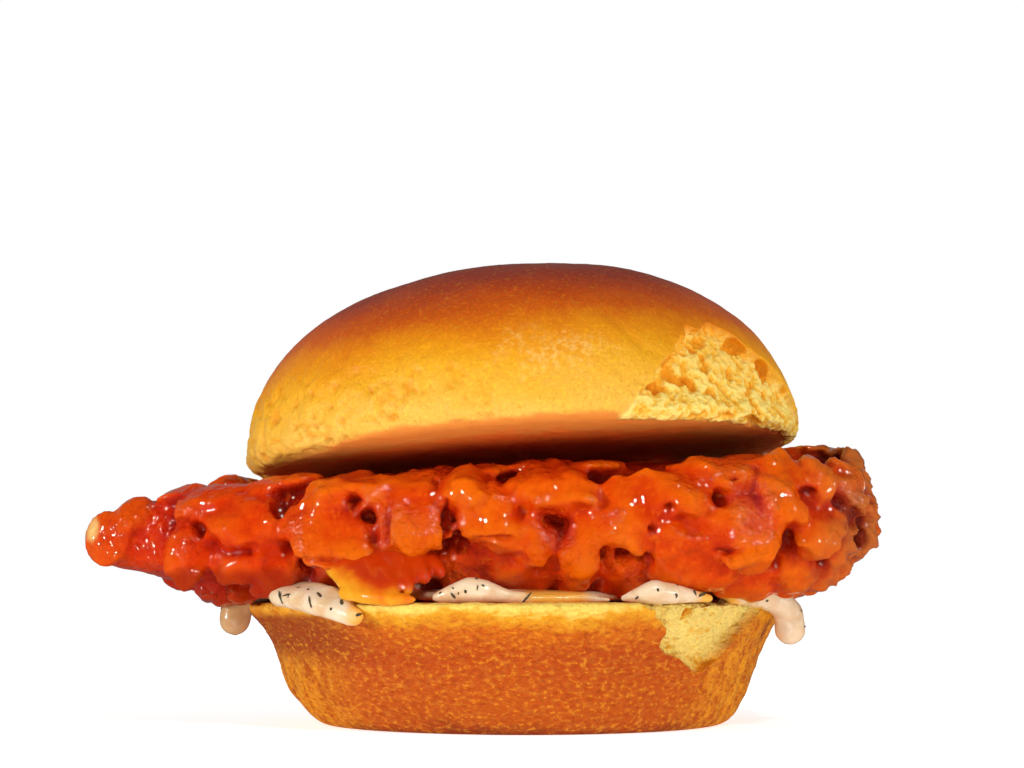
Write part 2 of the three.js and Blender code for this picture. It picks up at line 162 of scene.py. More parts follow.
# White sauce: the layer between the halves, and drops with their places and their half sizes
# along the rim, towards the middle and up.
PUDDLE = dict(radius=32.8, half_height=1.0, middle=Vector((0, -0.5, 18.9)), boxiness=3.0)
DROPS = [
    ((-5.6, -32.6, 18.9), (6.0, 3.4, 1.0)),
    ((20.0, -29.4, 18.9), (6.0, 3.4, 1.0)),
    ((16.0, 31.5, 19.3), (7.5, 3.8, 2.1)),
    ((-18.0, 29.5, 19.3), (6.0, 4.2, 2.0)),
    ((-28.4, -23.0, 19.2), (6.2, 5.0, 1.6)),
    ((-36.2, -6.6, 19.2), (4.2, 5.4, 1.6)),
    ((33.2, -16.4, 19.2), (6.6, 5.8, 1.7)),
    ((24.0, 27.8, 19.2), (5.6, 5.6, 2.0)),
]
# White sauce along the rim and over it: places along each run, with the half thickness at each.
RUNS = [
    [(-11.0, -35.4, 18.7, 0.7), (-8.6, -35.8, 19.2, 1.3), (-6.4, -36.0, 19.7, 1.8),
     (-4.2, -36.2, 19.5, 1.6), (-1.6, -36.4, 18.9, 1.0), (2.0, -36.6, 18.5, 0.8),
     (6.0, -36.2, 18.5, 0.8), (9.4, -35.6, 18.6, 0.7), (12.4, -35.0, 18.4, 0.5)],
    [(14.4, -34.0, 18.6, 0.6), (16.6, -33.6, 19.0, 1.1), (18.8, -33.0, 19.5, 1.6),
     (21.2, -32.0, 19.3, 1.4), (24.0, -30.4, 18.9, 1.0), (26.6, -28.8, 18.6, 0.7)],
    [(-33.6, -22.4, 18.9, 1.5), (-30.6, -26.2, 18.6, 1.6), (-27.4, -29.6, 17.8, 1.6),
     (-24.6, -32.0, 17.0, 1.5), (-22.2, -33.6, 16.2, 1.4)],
    [(-31.6, -21.8, 19.6, 1.4), (-28.4, -26.0, 19.4, 1.5), (-25.4, -29.4, 18.8, 1.5),
     (-23.0, -31.8, 17.6, 1.4)],
    [(-36.2, -6.6, 19.2, 1.5), (-39.6, -7.0, 18.7, 1.6), (-41.5, -7.2, 17.3, 2.1),
     (-41.7, -7.2, 15.6, 2.4)],
    [(31.8, -19.6, 19.2, 1.6), (35.0, -18.2, 18.9, 1.7), (37.8, -16.4, 18.0, 1.9),
     (39.4, -14.8, 16.4, 2.0), (39.5, -14.2, 14.1, 2.2)],
    [(24.0, 27.8, 19.2, 1.8), (26.2, 30.8, 17.8, 1.9), (26.0, 30.8, 15.6, 2.2)],
]

# Where hot sauce has coloured the white sauce along the front: x and half width.
STAINS = [(-17.5, 6.0), (5.5, 6.0), (28.0, 4.0)]

# Hot sauce that has run off the strip onto the white sauce and the rim: place and half sizes.
HOT_POOLS = [
    ((-4.0, 36.6, 18.5), (6.0, 2.0, 0.8)),
    ((30.0, 22.0, 18.5), (4.0, 2.0, 0.8)),
    ((-33.0, 17.0, 18.5), (5.0, 2.0, 0.8)),
]
# Hot sauce that comes off the strip as one curtain: its runs from left to right, then one along the rim.
HOT_RUNS = [
    [(-26.0, -25.4, 24.4, 1.5), (-25.0, -28.2, 22.6, 1.5), (-23.6, -31.0, 20.9, 1.2),
     (-22.0, -33.0, 19.7, 0.9)],
    [(-24.0, -26.0, 24.8, 1.7), (-22.8, -29.6, 22.5, 1.7), (-21.4, -32.6, 20.6, 1.4),
     (-20.4, -34.4, 19.5, 1.0)],
    [(-21.8, -26.6, 25.0, 1.7), (-20.6, -30.4, 22.5, 1.7), (-19.4, -33.4, 20.5, 1.4),
     (-18.6, -35.4, 19.3, 1.0)],
    [(-19.4, -27.0, 25.2, 1.7), (-18.2, -31.0, 22.5, 1.7), (-17.4, -34.2, 20.4, 1.4),
     (-16.8, -36.0, 19.2, 0.9)],
    [(-17.0, -27.4, 25.2, 1.7), (-15.8, -31.2, 22.6, 1.6), (-15.0, -34.4, 20.6, 1.2),
     (-14.6, -35.8, 19.6, 0.7)],
    [(-14.6, -27.8, 25.0, 1.6), (-13.4, -31.2, 22.8, 1.4), (-12.6, -33.6, 21.4, 1.0)],
    [(-12.4, -28.0, 24.6, 1.4), (-11.2, -31.0, 22.9, 1.1), (-10.4, -32.4, 22.0, 0.8)],
    [(-23.4, -32.6, 19.2, 1.0), (-20.0, -35.0, 18.8, 1.1), (-16.8, -36.6, 18.6, 1.0),
     (-14.0, -37.2, 18.5, 0.6)],
]
# How closely the balls of a run are set, and how many small drops are piled on each spill
RUN_STEP = 0.6
SPILL_DROPS = 3

# How fine the mesh is that joins each piece's parts into one skin
STRIP_VOXEL = 0.5
WHITE_SAUCE_VOXEL = 0.38
HOT_SAUCE_VOXEL = 0.3

# Where each repeatable throw of the dice starts
SEEDS = dict(other_crags=71, knobs=913, white_sauce=229, hot_sauce=611, herbs=407)

# Light: how much the white backdrop sheds, and each lamp's name, side, strength and width in degrees.
SKY_LIGHT = 0.24
SKY_GLOSS = 0.05
LAMPS = [
    ("key", (0.30, -0.80, 0.75), 0.83, 5.0),
    ("left", (-1.0, -0.50, 0.20), 1.60, 5.0),
    ("right", (1.0, -0.55, 0.10), 0.88, 5.0),
    ("card", (0.0, -1.0, -0.45), 0.72, 25.0),
    ("back", (-0.2, 1.0, 0.5), 0.2, 70.0),
]

# The camera: its lens and sensor in millimetres, its place in metres and its pitch in degrees.
CAMERA_LENS = 76.3
CAMERA_SENSOR = 36.0
CAMERA_PLACE = (-0.0007, -0.330, 0.0183)
CAMERA_PITCH = 95.7

# The table: half its side and its drop under the burger, in metres.
TABLE_REACH = 6.0
TABLE_DROP = 0.00002


# Small tools

def soft_step(value, low, high):
    """0 up to low, 1 from high on, and a smooth rise between them."""
    share = min(max((value - low) / (high - low), 0.0), 1.0)
    return share * share * (3.0 - 2.0 * share)


def dice(seed):
    """Repeatable numbers from 0 to 1, drawn as the part's source draws them."""
    state = seed

    def throw():
        nonlocal state
        state = state * 16807 % 2147483647
        return state / 2147483647

    return throw


def rough_noise(point, size, octaves=3, stretch=(1.0, 1.0, 1.0)):
    """Layered noise, about -1 to 1, with lumps of that size in millimetres."""
    place = Vector(point[k] / (size * stretch[k]) for k in range(3))
    return noise.fractal(place, 1.0, 2.0, octaves)


def pore_depth(point, size, open_share=0.5):
    """1 in the middle of a pore and 0 on the walls between pores."""
    nearest = noise.voronoi(Vector(point) / size)[0]
    return 1.0 - soft_step(nearest[0] / max(nearest[1], 1e-6), open_share * 0.4, open_share + 0.5)


def curve_points(start, control, end, count):
    """Points of a quadratic curve after its start."""
    made = []
    for i in range(1, count + 1):
        t = i / count
        made.append(
            tuple((1 - t) ** 2 * start[k] + 2 * t * (1 - t) * control[k] + t * t * end[k] for k in range(2))
        )
    return made


def outline_reader(points, densities):
    """Reads the outline at a share from 0 to 1. densities says how closely each stretch is read."""
    lengths = [math.dist(points[i], points[i + 1]) * densities[i] for i in range(len(points) - 1)]
    marks = np.concatenate([[0.0], np.cumsum(lengths)])
    marks /= marks[-1]
    radii = [p[0] for p in points]
    heights = [p[1] for p in points]
    return lambda share: (float(np.interp(share, marks, radii)), float(np.interp(share, marks, heights)))


def turned_body(read, around, rings):
    """A sphere's grid laid onto an outline that runs from the top middle to the bottom middle."""
    bm = bmesh.new()
    bmesh.ops.create_uvsphere(bm, u_segments=around, v_segments=rings, radius=1.0)
    for vert in bm.verts:
        share = math.acos(min(max(vert.co.z, -1.0), 1.0)) / math.pi
        radius, height = read(share)
        flat = math.hypot(vert.co.x, vert.co.y)
        if share < 0.25 / rings or share > 1 - 0.25 / rings:
            vert.co = (0.0, 0.0, height)
        else:
            vert.co = (vert.co.x / flat * radius, vert.co.y / flat * radius, height)
    return bm


def refined(bm, wanted, cuts):
    """Splits the edges of the faces that are wanted."""
    faces = [face for face in bm.faces if wanted(face.calc_center_median())]
    edges = list({edge for face in faces for edge in face.edges})
    bmesh.ops.subdivide_edges(bm, edges=edges, cuts=cuts, use_grid_fill=True)
    bmesh.ops.triangulate(bm, faces=[face for face in bm.faces if len(face.verts) > 4])


def draw_in(point, depth):
    """Moves the point towards the upright middle line by depth."""
    radius = math.hypot(point.x, point.y)
    point.x *= (radius - depth) / radius
    point.y *= (radius - depth) / radius


def torn_share(tear, angle, from_edge, point):
    """How deep the torn hollow is, 0 to 1, with a ragged border."""
    ragged = 1.4 * rough_noise(point, 5.0, 3)
    turned = math.degrees(angle) + 1.6 * ragged - tear["angle"]
    aside = abs(turned) / (tear["left"] if turned < 0 else tear["right"])
    if aside >= 1:
        return 0.0
    inside = tear["reach"] * (1 - aside ** tear["peak"]) - from_edge + ragged
    return soft_step(inside, 0.0, 0.55 * tear["edge"])


def crease_share(point, size):
    """1 along the creases between soft lumps of that size in millimetres, 0 on the lumps."""
    bend = Vector(rough_noise(point + Vector((k, 7 * k, 3)), size, 2) for k in range(3))
    near = noise.voronoi((point + 0.45 * size * bend) / size)[0]
    return 1 - soft_step(near[1] - near[0], 0.0, 0.13)


def crumb_relief(place):
    """Bare crumb: soft tufts with irregular pores between them, 0 at the skin's level and less inside."""
    tufts = 0.25 * rough_noise(place, 3.4, 2) + 0.42 * rough_noise(place, 1.2, 3)
    pores = max(0.0, rough_noise(place + Vector((9, 3, 1)), 2.4, 2) - 0.22)
    return tufts - 1.8 * min(pores, 0.45)


def value_layers(bm, *names):
    """A layer for each name, where the piece keeps one value at each vertex."""
    return [bm.verts.layers.float.new(name) for name in names]


def relief(bm, depth_at):
    """Moves each vertex along its normal by depth_at(vertex)."""
    bm.normal_update()
    moves = [(vert, vert.normal * depth_at(vert)) for vert in bm.verts]
    for vert, move in moves:
        vert.co += move


def as_object(bm, name):
    """The mesh as an object in the scene."""
    mesh = bpy.data.meshes.new(name)
    bm.to_mesh(mesh)
    bm.free()
    made = bpy.data.objects.new(name, mesh)
    bpy.context.scene.collection.objects.link(made)
    return made


def one_skin(bm, voxel):
    """The outer skin of all the closed bodies in the mesh, as one even mesh."""
    raw = as_object(bm, "raw")
    mesh = raw.data
    modifier = raw.modifiers.new("skin", "REMESH")
    modifier.mode = "VOXEL"
    modifier.voxel_size = voxel
    graph = bpy.context.evaluated_depsgraph_get()
    skin = bpy.data.meshes.new_from_object(raw.evaluated_get(graph))
    bpy.data.objects.remove(raw)
    bpy.data.meshes.remove(mesh)
    made = bmesh.new()
    made.from_mesh(skin)
    bpy.data.meshes.remove(skin)
    return made


def smoothed(bm, rounds, factor=0.5):
    """Evens the mesh out in place."""
    for _ in range(rounds):
        bmesh.ops.smooth_vert(
            bm, verts=bm.verts[:], factor=factor, use_axis_x=True, use_axis_y=True, use_axis_z=True
        )


def largest_island(bm):
    """Deletes all but the largest joined body."""
    unseen = set(bm.verts)
    islands = []
    while unseen:
        island = set()
        front = [unseen.pop()]
        while front:
            vert = front.pop()
            island.add(vert)
            for edge in vert.link_edges:
                other = edge.other_vert(vert)
                if other in unseen:
                    unseen.remove(other)
                    front.append(other)
        islands.append(island)
    islands.sort(key=len)
    for island in islands[:-1]:
        bmesh.ops.delete(bm, geom=list(island), context="VERTS")


def painted_shade(bm, tree, reach, rays):
    """The share of the directions round each vertex that something nearer than reach blocks, by which the
    strip's colour is darkened as painted shade.
    """
    golden_angle = 2.399963
    directions = []
    for i in range(rays):
        height = 1 - 0.9 * (i + 0.5) / rays
        turn = golden_angle * i
        flat = math.sqrt(1 - height * height)
        directions.append(Vector((flat * math.cos(turn), flat * math.sin(turn), height)))
    shares = []
    for vert in bm.verts:
        turn = vert.normal.to_track_quat("Z", "Y")
        start = vert.co + vert.normal * 0.15
        blocked = sum(1 for side in directions if tree.ray_cast(start, turn @ side, reach)[0] is not None)
        shares.append(blocked / rays)
    return shares


def proudness(bm, rounds):
    """How far each vertex stands out from the evened surface round it, in millimetres."""
    bm.verts.index_update()
    bm.normal_update()
    points = np.array([vert.co[:] for vert in bm.verts])
    normals = np.array([vert.normal[:] for vert in bm.verts])
    ends = np.array([(edge.verts[0].index, edge.verts[1].index) for edge in bm.edges])
    count = len(points)
    valence = np.bincount(ends.ravel(), minlength=count)[:, None]
    even = points.copy()
    for _ in range(rounds):
        total = np.empty_like(even)
        for k in range(3):
            total[:, k] = np.bincount(ends[:, 0], even[ends[:, 1], k], count) + np.bincount(
                ends[:, 1], even[ends[:, 0], k], count
            )
        even = 0.5 * even + 0.5 * total / valence
    return np.einsum("ij,ij->i", points - even, normals)


def millimetre_tree(piece):
    """A finished piece's surface, in millimetres, to cast rays at."""
    skin = bmesh.new()
    skin.from_mesh(piece.data)
    bmesh.ops.scale(skin, vec=(1000.0, 1000.0, 1000.0), verts=skin.verts[:])
    tree = BVHTree.FromBMesh(skin)
    skin.free()
    return tree


def finished(bm, name, material, replaced=None):
    """Turns the millimetre mesh into the finished piece, in metres, riding on the burger."""
    bmesh.ops.scale(bm, vec=(0.001, 0.001, 0.001), verts=bm.verts[:])
    bm.normal_update()
    piece = as_object(bm, name)
    piece.data.shade_smooth()
    piece.data.materials.append(material)
    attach(piece, "root")
    if replaced:
        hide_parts(replaced)
    return piece


# Material tools

def new_material(name):
    """An empty material and its node tree."""
    material = bpy.data.materials.new(name)
    material.use_nodes = True
    tree = material.node_tree
    tree.nodes.clear()
    return material, tree


def add(tree, kind, inputs=None, **settings):
    """A node of that kind. An input is a value or another node's socket."""
    made = tree.nodes.new("ShaderNode" + kind)
    for key, value in settings.items():
        setattr(made, key, value)
    for key, value in (inputs or {}).items():
        if isinstance(value, bpy.types.NodeSocket):
            tree.links.new(value, made.inputs[key])
        else:
            made.inputs[key].default_value = value
    return made


def maths(tree, operation, first, second, clamp=False):
    """One sum of two values."""
    made = add(tree, "Math", {0: first, 1: second}, operation=operation)
    made.use_clamp = clamp
    return made.outputs[0]


def times(tree, value, factor):
    """The product of two values."""
    return maths(tree, "MULTIPLY", value, factor)


def swing(tree, value, size):
    """A value from 0 to 1 as a swing of that size to both sides of 0."""
    return times(tree, maths(tree, "SUBTRACT", value, 0.5), size)


def blend(tree, factor, first, second, mode="MIX"):
    """Mixes two colours."""
    inputs = {0: factor}
    for index, colour in ((6, first), (7, second)):
        inputs[index] = (*colour, 1.0) if isinstance(colour, tuple) else colour
    return add(tree, "Mix", inputs, data_type="RGBA", blend_type=mode).outputs[2]


def ramp(tree, factor, stops):
    """Colours or greys along a factor: stops are (place, colour or grey)."""
    made = add(tree, "ValToRGB", {0: factor})
    line = made.color_ramp
    while len(line.elements) < len(stops):
        line.elements.new(1.0)
    for element, (place, colour) in zip(line.elements, stops):
        element.position = place
        element.color = (*colour, 1.0) if isinstance(colour, tuple) else (colour, colour, colour, 1.0)
    return made.outputs[0]


def own_place(tree, stretch=(1.0, 1.0, 1.0)):
    """Object coordinates, stretched."""
    place = add(tree, "TexCoord").outputs["Object"]
    if stretch == (1.0, 1.0, 1.0):
        return place
    return add(tree, "Mapping", {"Vector": place, "Scale": stretch}).outputs[0]


def spots(tree, place, size, detail=2.0, roughness=0.5, distortion=0.0):
    """Noise with lumps of that size in millimetres."""
    inputs = {"Vector": place, "Scale": 1000.0 / size, "Detail": detail, "Roughness": roughness}
    inputs["Distortion"] = distortion
    return add(tree, "TexNoise", inputs).outputs["Fac"]


def kept(tree, name):
    """A value that the piece keeps at each vertex."""
    return add(tree, "Attribute", attribute_name=name).outputs["Fac"]


def closed(tree, material_inputs, height=None, bump_distance=0.0002, bump_strength=1.0):
    """The Principled shader with its bump, joined to the output."""
    shader = add(tree, "BsdfPrincipled", material_inputs)
    if height is not None:
        inputs = {"Height": height, "Distance": bump_distance, "Strength": bump_strength}
        bump = add(tree, "Bump", inputs)
        tree.links.new(bump.outputs[0], shader.inputs["Normal"])
    add(tree, "OutputMaterial", {"Surface": shader.outputs[0]})


def new_group(name, inputs, outputs):
    """A shared node group with its ends: inputs and outputs are (name, kind of socket)."""
    group = bpy.data.node_groups.new(name, "ShaderNodeTree")
    for label, kind in inputs:
        group.interface.new_socket(label, in_out="INPUT", socket_type="NodeSocket" + kind)
    for label, kind in outputs:
        group.interface.new_socket(label, in_out="OUTPUT", socket_type="NodeSocket" + kind)
    return group, group.nodes.new("NodeGroupInput").outputs, group.nodes.new("NodeGroupOutput").inputs


def crust_grain_group():
    """Fine baked grain: a mask of paler grains and a height for the bump."""
    inputs = [("Place", "Vector"), ("Grain size", "Float")]
    group, given, made = new_group("crust_grain", inputs, [("Pale", "Float"), ("Height", "Float")])
    scale = maths(group, "DIVIDE", 1000.0, given["Grain size"])
    grains = add(group, "TexNoise", {"Vector": given["Place"], "Scale": scale, "Detail": 4.0}).outputs["Fac"]
    cells = add(group, "TexVoronoi", {"Vector": given["Place"], "Scale": scale}).outputs["Distance"]
    domes = maths(group, "SUBTRACT", 1.0, cells)
    group.links.new(ramp(group, grains, [(0.50, 0.0), (0.66, 1.0)]), made["Pale"])
    group.links.new(maths(group, "ADD", times(group, domes, 0.5), grains), made["Height"])
    return group


def torn_crumb_group():
    """Colour and height of bare crumb where the bun was torn."""
    inputs = [("Place", "Vector"), ("Pore", "Float")]
    group, given, made = new_group("torn_crumb", inputs, [("Colour", "Color"), ("Grains", "Float")])
    grains = spots(group, given["Place"], 0.8, 3.0, 0.6)
    darker = times(group, maths(group, "SUBTRACT", 0.5, grains), 0.9)
    level = maths(group, "ADD", given["Pore"], darker, clamp=True)
    colours = [(0.42, (0.98, 0.72, 0.185)), (0.60, (0.93, 0.52, 0.055)), (0.90, (0.78, 0.28, 0.010))]
    group.links.new(ramp(group, level, colours), made["Colour"])
    group.links.new(grains, made["Grains"])
    return group


def toasted_cut_group():
    """Colour of the cut face: golden at the lip and toasted darker inwards, in patches."""
    inputs = [("Place", "Vector"), ("Inward", "Float")]
    group, given, made = new_group("toasted_cut", inputs, [("Colour", "Color")])
    patches = swing(group, spots(group, given["Place"], 5.0, 5.0, 0.6), 1.1)
    level = maths(group, "ADD", given["Inward"], patches, clamp=True)
    colours = [
        (0.10, (0.80, 0.26, 0.040)),
        (0.35, (0.88, 0.19, 0.022)),
        (0.65, (0.97, 0.15, 0.014)),
        (0.95, (0.98, 0.10, 0.010)),
    ]
    group.links.new(ramp(group, level, colours), made["Colour"])
    return group


CRUST_GRAIN = crust_grain_group()
TORN_CRUMB = torn_crumb_group()
TOASTED_CUT = toasted_cut_group()
BREAD = {
    "Specular IOR Level": 0.15,
    "Subsurface Weight": 0.10,
    "Subsurface Radius": (1.0, 0.35, 0.05),
    "Subsurface Scale": 0.0012,
}


def crust_grain(tree, place, size):
    """The mask of paler grains and the height of baked grain of that size in millimetres."""
    made = add(tree, "Group", {"Place": place, "Grain size": size}, node_tree=CRUST_GRAIN)
    return made.outputs["Pale"], made.outputs["Height"]


def torn_crumb(tree, place):
    """The colour and the grain height of bare crumb."""
    made = add(tree, "Group", {"Place": place, "Pore": kept(tree, "pore")}, node_tree=TORN_CRUMB)
    return made.outputs["Colour"], made.outputs["Grains"]


def toasted_cut(tree, place):
    """The colour of the cut face."""
    made = add(tree, "Group", {"Place": place, "Inward": kept(tree, "inward")}, node_tree=TOASTED_CUT)
    return made.outputs["Colour"]


def close_bread(tree, place, crust, crumb, pores, skin_rough, skin_height, bump_distance, bump_strength):
    """The crust with the torn crumb and the cut face laid over it, joined to the output."""
    torn = kept(tree, "torn")
    cut = kept(tree, "cut")
    colour = blend(tree, torn, crust, crumb)
    colour = blend(tree, cut, colour, toasted_cut(tree, place))
    rough = ramp(tree, maths(tree, "MAXIMUM", torn, cut), [(0.0, skin_rough), (1.0, 0.85)])
    height = maths(tree, "ADD", skin_height, times(tree, pores, times(tree, torn, 3.0)))
    surface = {"Base Color": colour, "Roughness": rough} | BREAD
    closed(tree, surface, height, bump_distance, bump_strength)


def crown_crust_material():
    material, tree = new_material("crown_crust")
    place = own_place(tree)
    broad = spots(tree, place, 16.0, 3.0)
    fine = spots(tree, place, 2.5, 4.0, 0.6)
    baked = kept(tree, "baked")
    wandering = maths(tree, "ADD", baked, swing(tree, broad, 0.24))
    level = maths(tree, "ADD", wandering, swing(tree, fine, 0.12), clamp=True)
    golden_to_brown = [
        (0.00, (0.86, 0.48, 0.078)),
        (0.14, (0.84, 0.43, 0.040)),
        (0.27, (0.81, 0.37, 0.014)),
        (0.37, (0.77, 0.29, 0.005)),
        (0.47, (0.69, 0.20, 0.003)),
        (0.57, (0.56, 0.095, 0.003)),
        (0.67, (0.46, 0.056, 0.002)),
        (0.80, (0.30, 0.026, 0.002)),
        (1.00, (0.20, 0.015, 0.002)),
    ]
    crust = ramp(tree, level, golden_to_brown)
    pale, grain = crust_grain(tree, place, 0.5)
    crust = blend(tree, times(tree, pale, 0.45), crust, (1.0, 0.86, 0.55), "SOFT_LIGHT")
    # painted highlight: pale speckles painted into the crust's colour in a patch on the front, standing in
    # for the lamps' glint
    painted_glint_grains = ramp(tree, spots(tree, place, 0.8, 2.0), [(0.42, 0.0), (0.66, 0.5)])
    painted_glints = times(tree, painted_glint_grains, kept(tree, "painted_glint"))
    crust = blend(tree, painted_glints, crust, (0.97, 0.64, 0.20))
    # painted shade: the crust is darkened in the creases and pits of the lower left
    painted_crease_shade = ramp(tree, kept(tree, "crease"), [(0.15, 0.0), (0.8, 0.65)])
    crust = blend(tree, painted_crease_shade, crust, (0.82, 0.30, 0.010))
    dots = ramp(tree, spots(tree, place, 0.6, 1.0), [(0.30, 0.40), (0.38, 0.0)])
    crust = blend(tree, dots, crust, (0.60, 0.24, 0.010))
    crumb, pores = torn_crumb(tree, place)
    crumb = blend(tree, ramp(tree, baked, [(0.12, 0.0), (0.55, 0.65)]), crumb, (0.86, 0.36, 0.012))
    close_bread(tree, place, crust, crumb, pores, 0.42, times(tree, grain, 0.5), 0.0002, 0.8)
    return material


def heel_crust_material():
    material, tree = new_material("heel_crust")
    place = own_place(tree, (1.0, 1.0, 1.6))
    broad = spots(tree, place, 13.0, 3.0)
    fine = spots(tree, place, 2.0, 4.0, 0.65)
    level = kept(tree, "level")
    wandering = maths(tree, "ADD", level, swing(tree, broad, 0.30))
    height_on_wall = maths(tree, "ADD", wandering, swing(tree, fine, 0.22), clamp=True)
    foot_to_rim = [
        (0.00, (0.28, 0.034, 0.003)),
        (0.08, (0.46, 0.080, 0.002)),
        (0.30, (0.50, 0.082, 0.001)),
        (0.62, (0.48, 0.064, 0.001)),
        (0.80, (0.62, 0.130, 0.002)),
        (0.90, (0.84, 0.38, 0.014)),
        (0.96, (0.96, 0.68, 0.130)),
    ]
    crust = ramp(tree, height_on_wall, foot_to_rim)
    pale, grain = crust_grain(tree, place, 1.1)
    streaks = spots(tree, own_place(tree, (1.0, 1.0, 0.30)), 2.2, 4.0, 0.65)
    golds = [(0.36, (0.42, 0.085, 0.002)), (0.46, (0.64, 0.20, 0.004)), (0.62, (0.78, 0.32, 0.010))]
    crust = blend(tree, times(tree, kept(tree, "side"), 0.85), crust, ramp(tree, streaks, golds))
    crust = blend(tree, times(tree, kept(tree, "ruddy"), 0.9), crust, (0.28, 0.032, 0.003))
    below_rim = ramp(tree, level, [(0.80, 1.0), (0.90, 0.15)])
    coarse = spots(tree, place, 0.9, 3.0, 0.6)
    pits = times(tree, ramp(tree, coarse, [(0.36, 0.6), (0.46, 0.0)]), below_rim)
    crust = blend(tree, pits, crust, (0.36, 0.046, 0.001))
    grains = times(tree, ramp(tree, coarse, [(0.54, 0.0), (0.66, 0.5)]), below_rim)
    crust = blend(tree, grains, crust, (0.86, 0.34, 0.012))
    crust = blend(tree, times(tree, pale, 0.10), crust, (0.90, 0.48, 0.05))
    crumb, pores = torn_crumb(tree, place)
    bumps = maths(tree, "ADD", times(tree, grain, 0.6), times(tree, coarse, 1.6))
    close_bread(tree, place, crust, crumb, pores, 0.5, bumps, 0.00035, 0.9)
    return material


def glazed_batter_material():
    material, tree = new_material("glazed_batter")
    place = own_place(tree)
    blotches = spots(tree, place, 5.0, 4.0, 0.6, 0.4)
    # darker red towards the hollows, partly as thinner glaze and partly as painted shade, and orange on the
    # proud lobes
    depth = maths(tree, "ADD", kept(tree, "proud"), swing(tree, blotches, 0.8), clamp=True)
    recess_shade_to_lobe = [
        (0.00, (0.15, 0.004, 0.001)),
        (0.24, (0.34, 0.010, 0.001)),
        (0.44, (0.52, 0.024, 0.001)),
        (0.64, (0.63, 0.050, 0.001)),
        (1.00, (0.74, 0.125, 0.002)),
    ]
    glaze = ramp(tree, depth, recess_shade_to_lobe)
    grit = spots(tree, place, 1.1, 3.0, 0.6)
    specks = ramp(tree, grit, [(0.56, 0.0), (0.68, 0.25)])
    glaze = blend(tree, specks, glaze, (0.26, 0.010, 0.001))
    light_bits = ramp(tree, grit, [(0.34, 0.35), (0.44, 0.0)])
    glaze = blend(tree, light_bits, glaze, (0.80, 0.135, 0.003))
    glaze = blend(tree, kept(tree, "redder"), glaze, (0.96, 0.62, 0.80), "MULTIPLY")
    # painted shade: the glaze is darkened where its own lobes or the crown hide it, low on the left belly
    # and where it faces down
    painted_shade_mix = ramp(tree, kept(tree, "painted_shade"), [(0.35, 0.0), (0.95, 0.85)])
    glaze = blend(tree, painted_shade_mix, glaze, (0.24, 0.007, 0.001))
    # the crisp brown end, browner on the lobes and darker in the hollows as painted shade
    browns = [(0.30, (0.10, 0.006, 0.003)), (0.50, (0.25, 0.024, 0.006)), (0.75, (0.50, 0.12, 0.02))]
    colour = blend(tree, kept(tree, "crisp"), glaze, ramp(tree, depth, browns))
    colour = blend(tree, kept(tree, "bare"), colour, (0.92, 0.52, 0.16))
    ripples = spots(tree, place, 2.4, 1.0, 0.5)
    beaded = ramp(tree, spots(tree, place, 7.0, 1.0), [(0.46, 0.10), (0.58, 1.20)])
    beads = times(tree, spots(tree, place, 1.0, 1.0), beaded)
    height = maths(tree, "ADD", times(tree, ripples, 0.5), beads)
    closed(
        tree,
        {
            "Base Color": colour,
            "Roughness": ramp(tree, blotches, [(0.35, 0.03), (0.65, 0.06)]),
            "Specular IOR Level": 0.55,
            "Specular Tint": (1.0, 0.92, 0.80, 1.0),
            "Subsurface Weight": 0.05,
            "Subsurface Radius": (1.0, 0.1, 0.02),
            "Subsurface Scale": 0.0012,
        },
        height,
        0.0006,
        0.9,
    )
    return material


def hot_sauce_material():
    material, tree = new_material("hot_sauce")
    place = own_place(tree)
    swirl = swing(tree, spots(tree, place, 4.0, 2.0, 0.5, 0.8), 0.6)
    level = maths(tree, "ADD", kept(tree, "thick"), swirl, clamp=True)
    yellow_to_red = [
        (0.00, (0.88, 0.38, 0.014)),
        (0.35, (0.80, 0.19, 0.004)),
        (0.65, (0.66, 0.065, 0.002)),
        (0.90, (0.58, 0.034, 0.001)),
    ]
    closed(
        tree,
        {
            "Base Color": ramp(tree, level, yellow_to_red),
            "Roughness": 0.12,
            "Subsurface Weight": 0.3,
            "Subsurface Radius": (1.0, 0.4, 0.1),
            "Subsurface Scale": 0.002,
            "Coat Weight": 0.6,
            "Coat Roughness": 0.05,
        },
        spots(tree, place, 3.0, 2.0),
        0.0002,
        0.4,
    )
    return material


def white_sauce_material():
    material, tree = new_material("herbed_white_sauce")
    place = own_place(tree)
    clouds = spots(tree, place, 3.5, 3.0, 0.55, 0.3)
    creams = [(0.35, (0.75, 0.49, 0.26)), (0.52, (0.82, 0.62, 0.40)), (0.70, (0.87, 0.70, 0.48))]
    colour = ramp(tree, clouds, creams)
    colour = blend(tree, times(tree, kept(tree, "stain"), 0.9), colour, (0.90, 0.42, 0.030))
    # painted shade: the sauce at the far left is painted darker and browner
    colour = blend(tree, times(tree, kept(tree, "left_drop_shade"), 0.8), colour, (0.50, 0.26, 0.09))
    closed(
        tree,
        {
            "Base Color": colour,
            "Roughness": ramp(tree, clouds, [(0.3, 0.20), (0.7, 0.34)]),
            "Subsurface Weight": 0.3,
            "Subsurface Radius": (1.0, 0.6, 0.4),
            "Subsurface Scale": 0.0015,
            "Coat Weight": 0.35,
            "Coat Roughness": 0.08,
        },
        clouds,
        0.0003,
        0.4,
    )
    return material


def herb_material():
    material, tree = new_material("dried_herb")
    shade = spots(tree, own_place(tree), 1.0, 3.0, 0.6)
    colour = ramp(tree, shade, [(0.35, (0.030, 0.022, 0.008)), (0.65, (0.10, 0.075, 0.022))])
    closed(tree, {"Base Color": colour, "Roughness": 0.6}, shade, 0.0001, 0.6)
    return material


# The bun

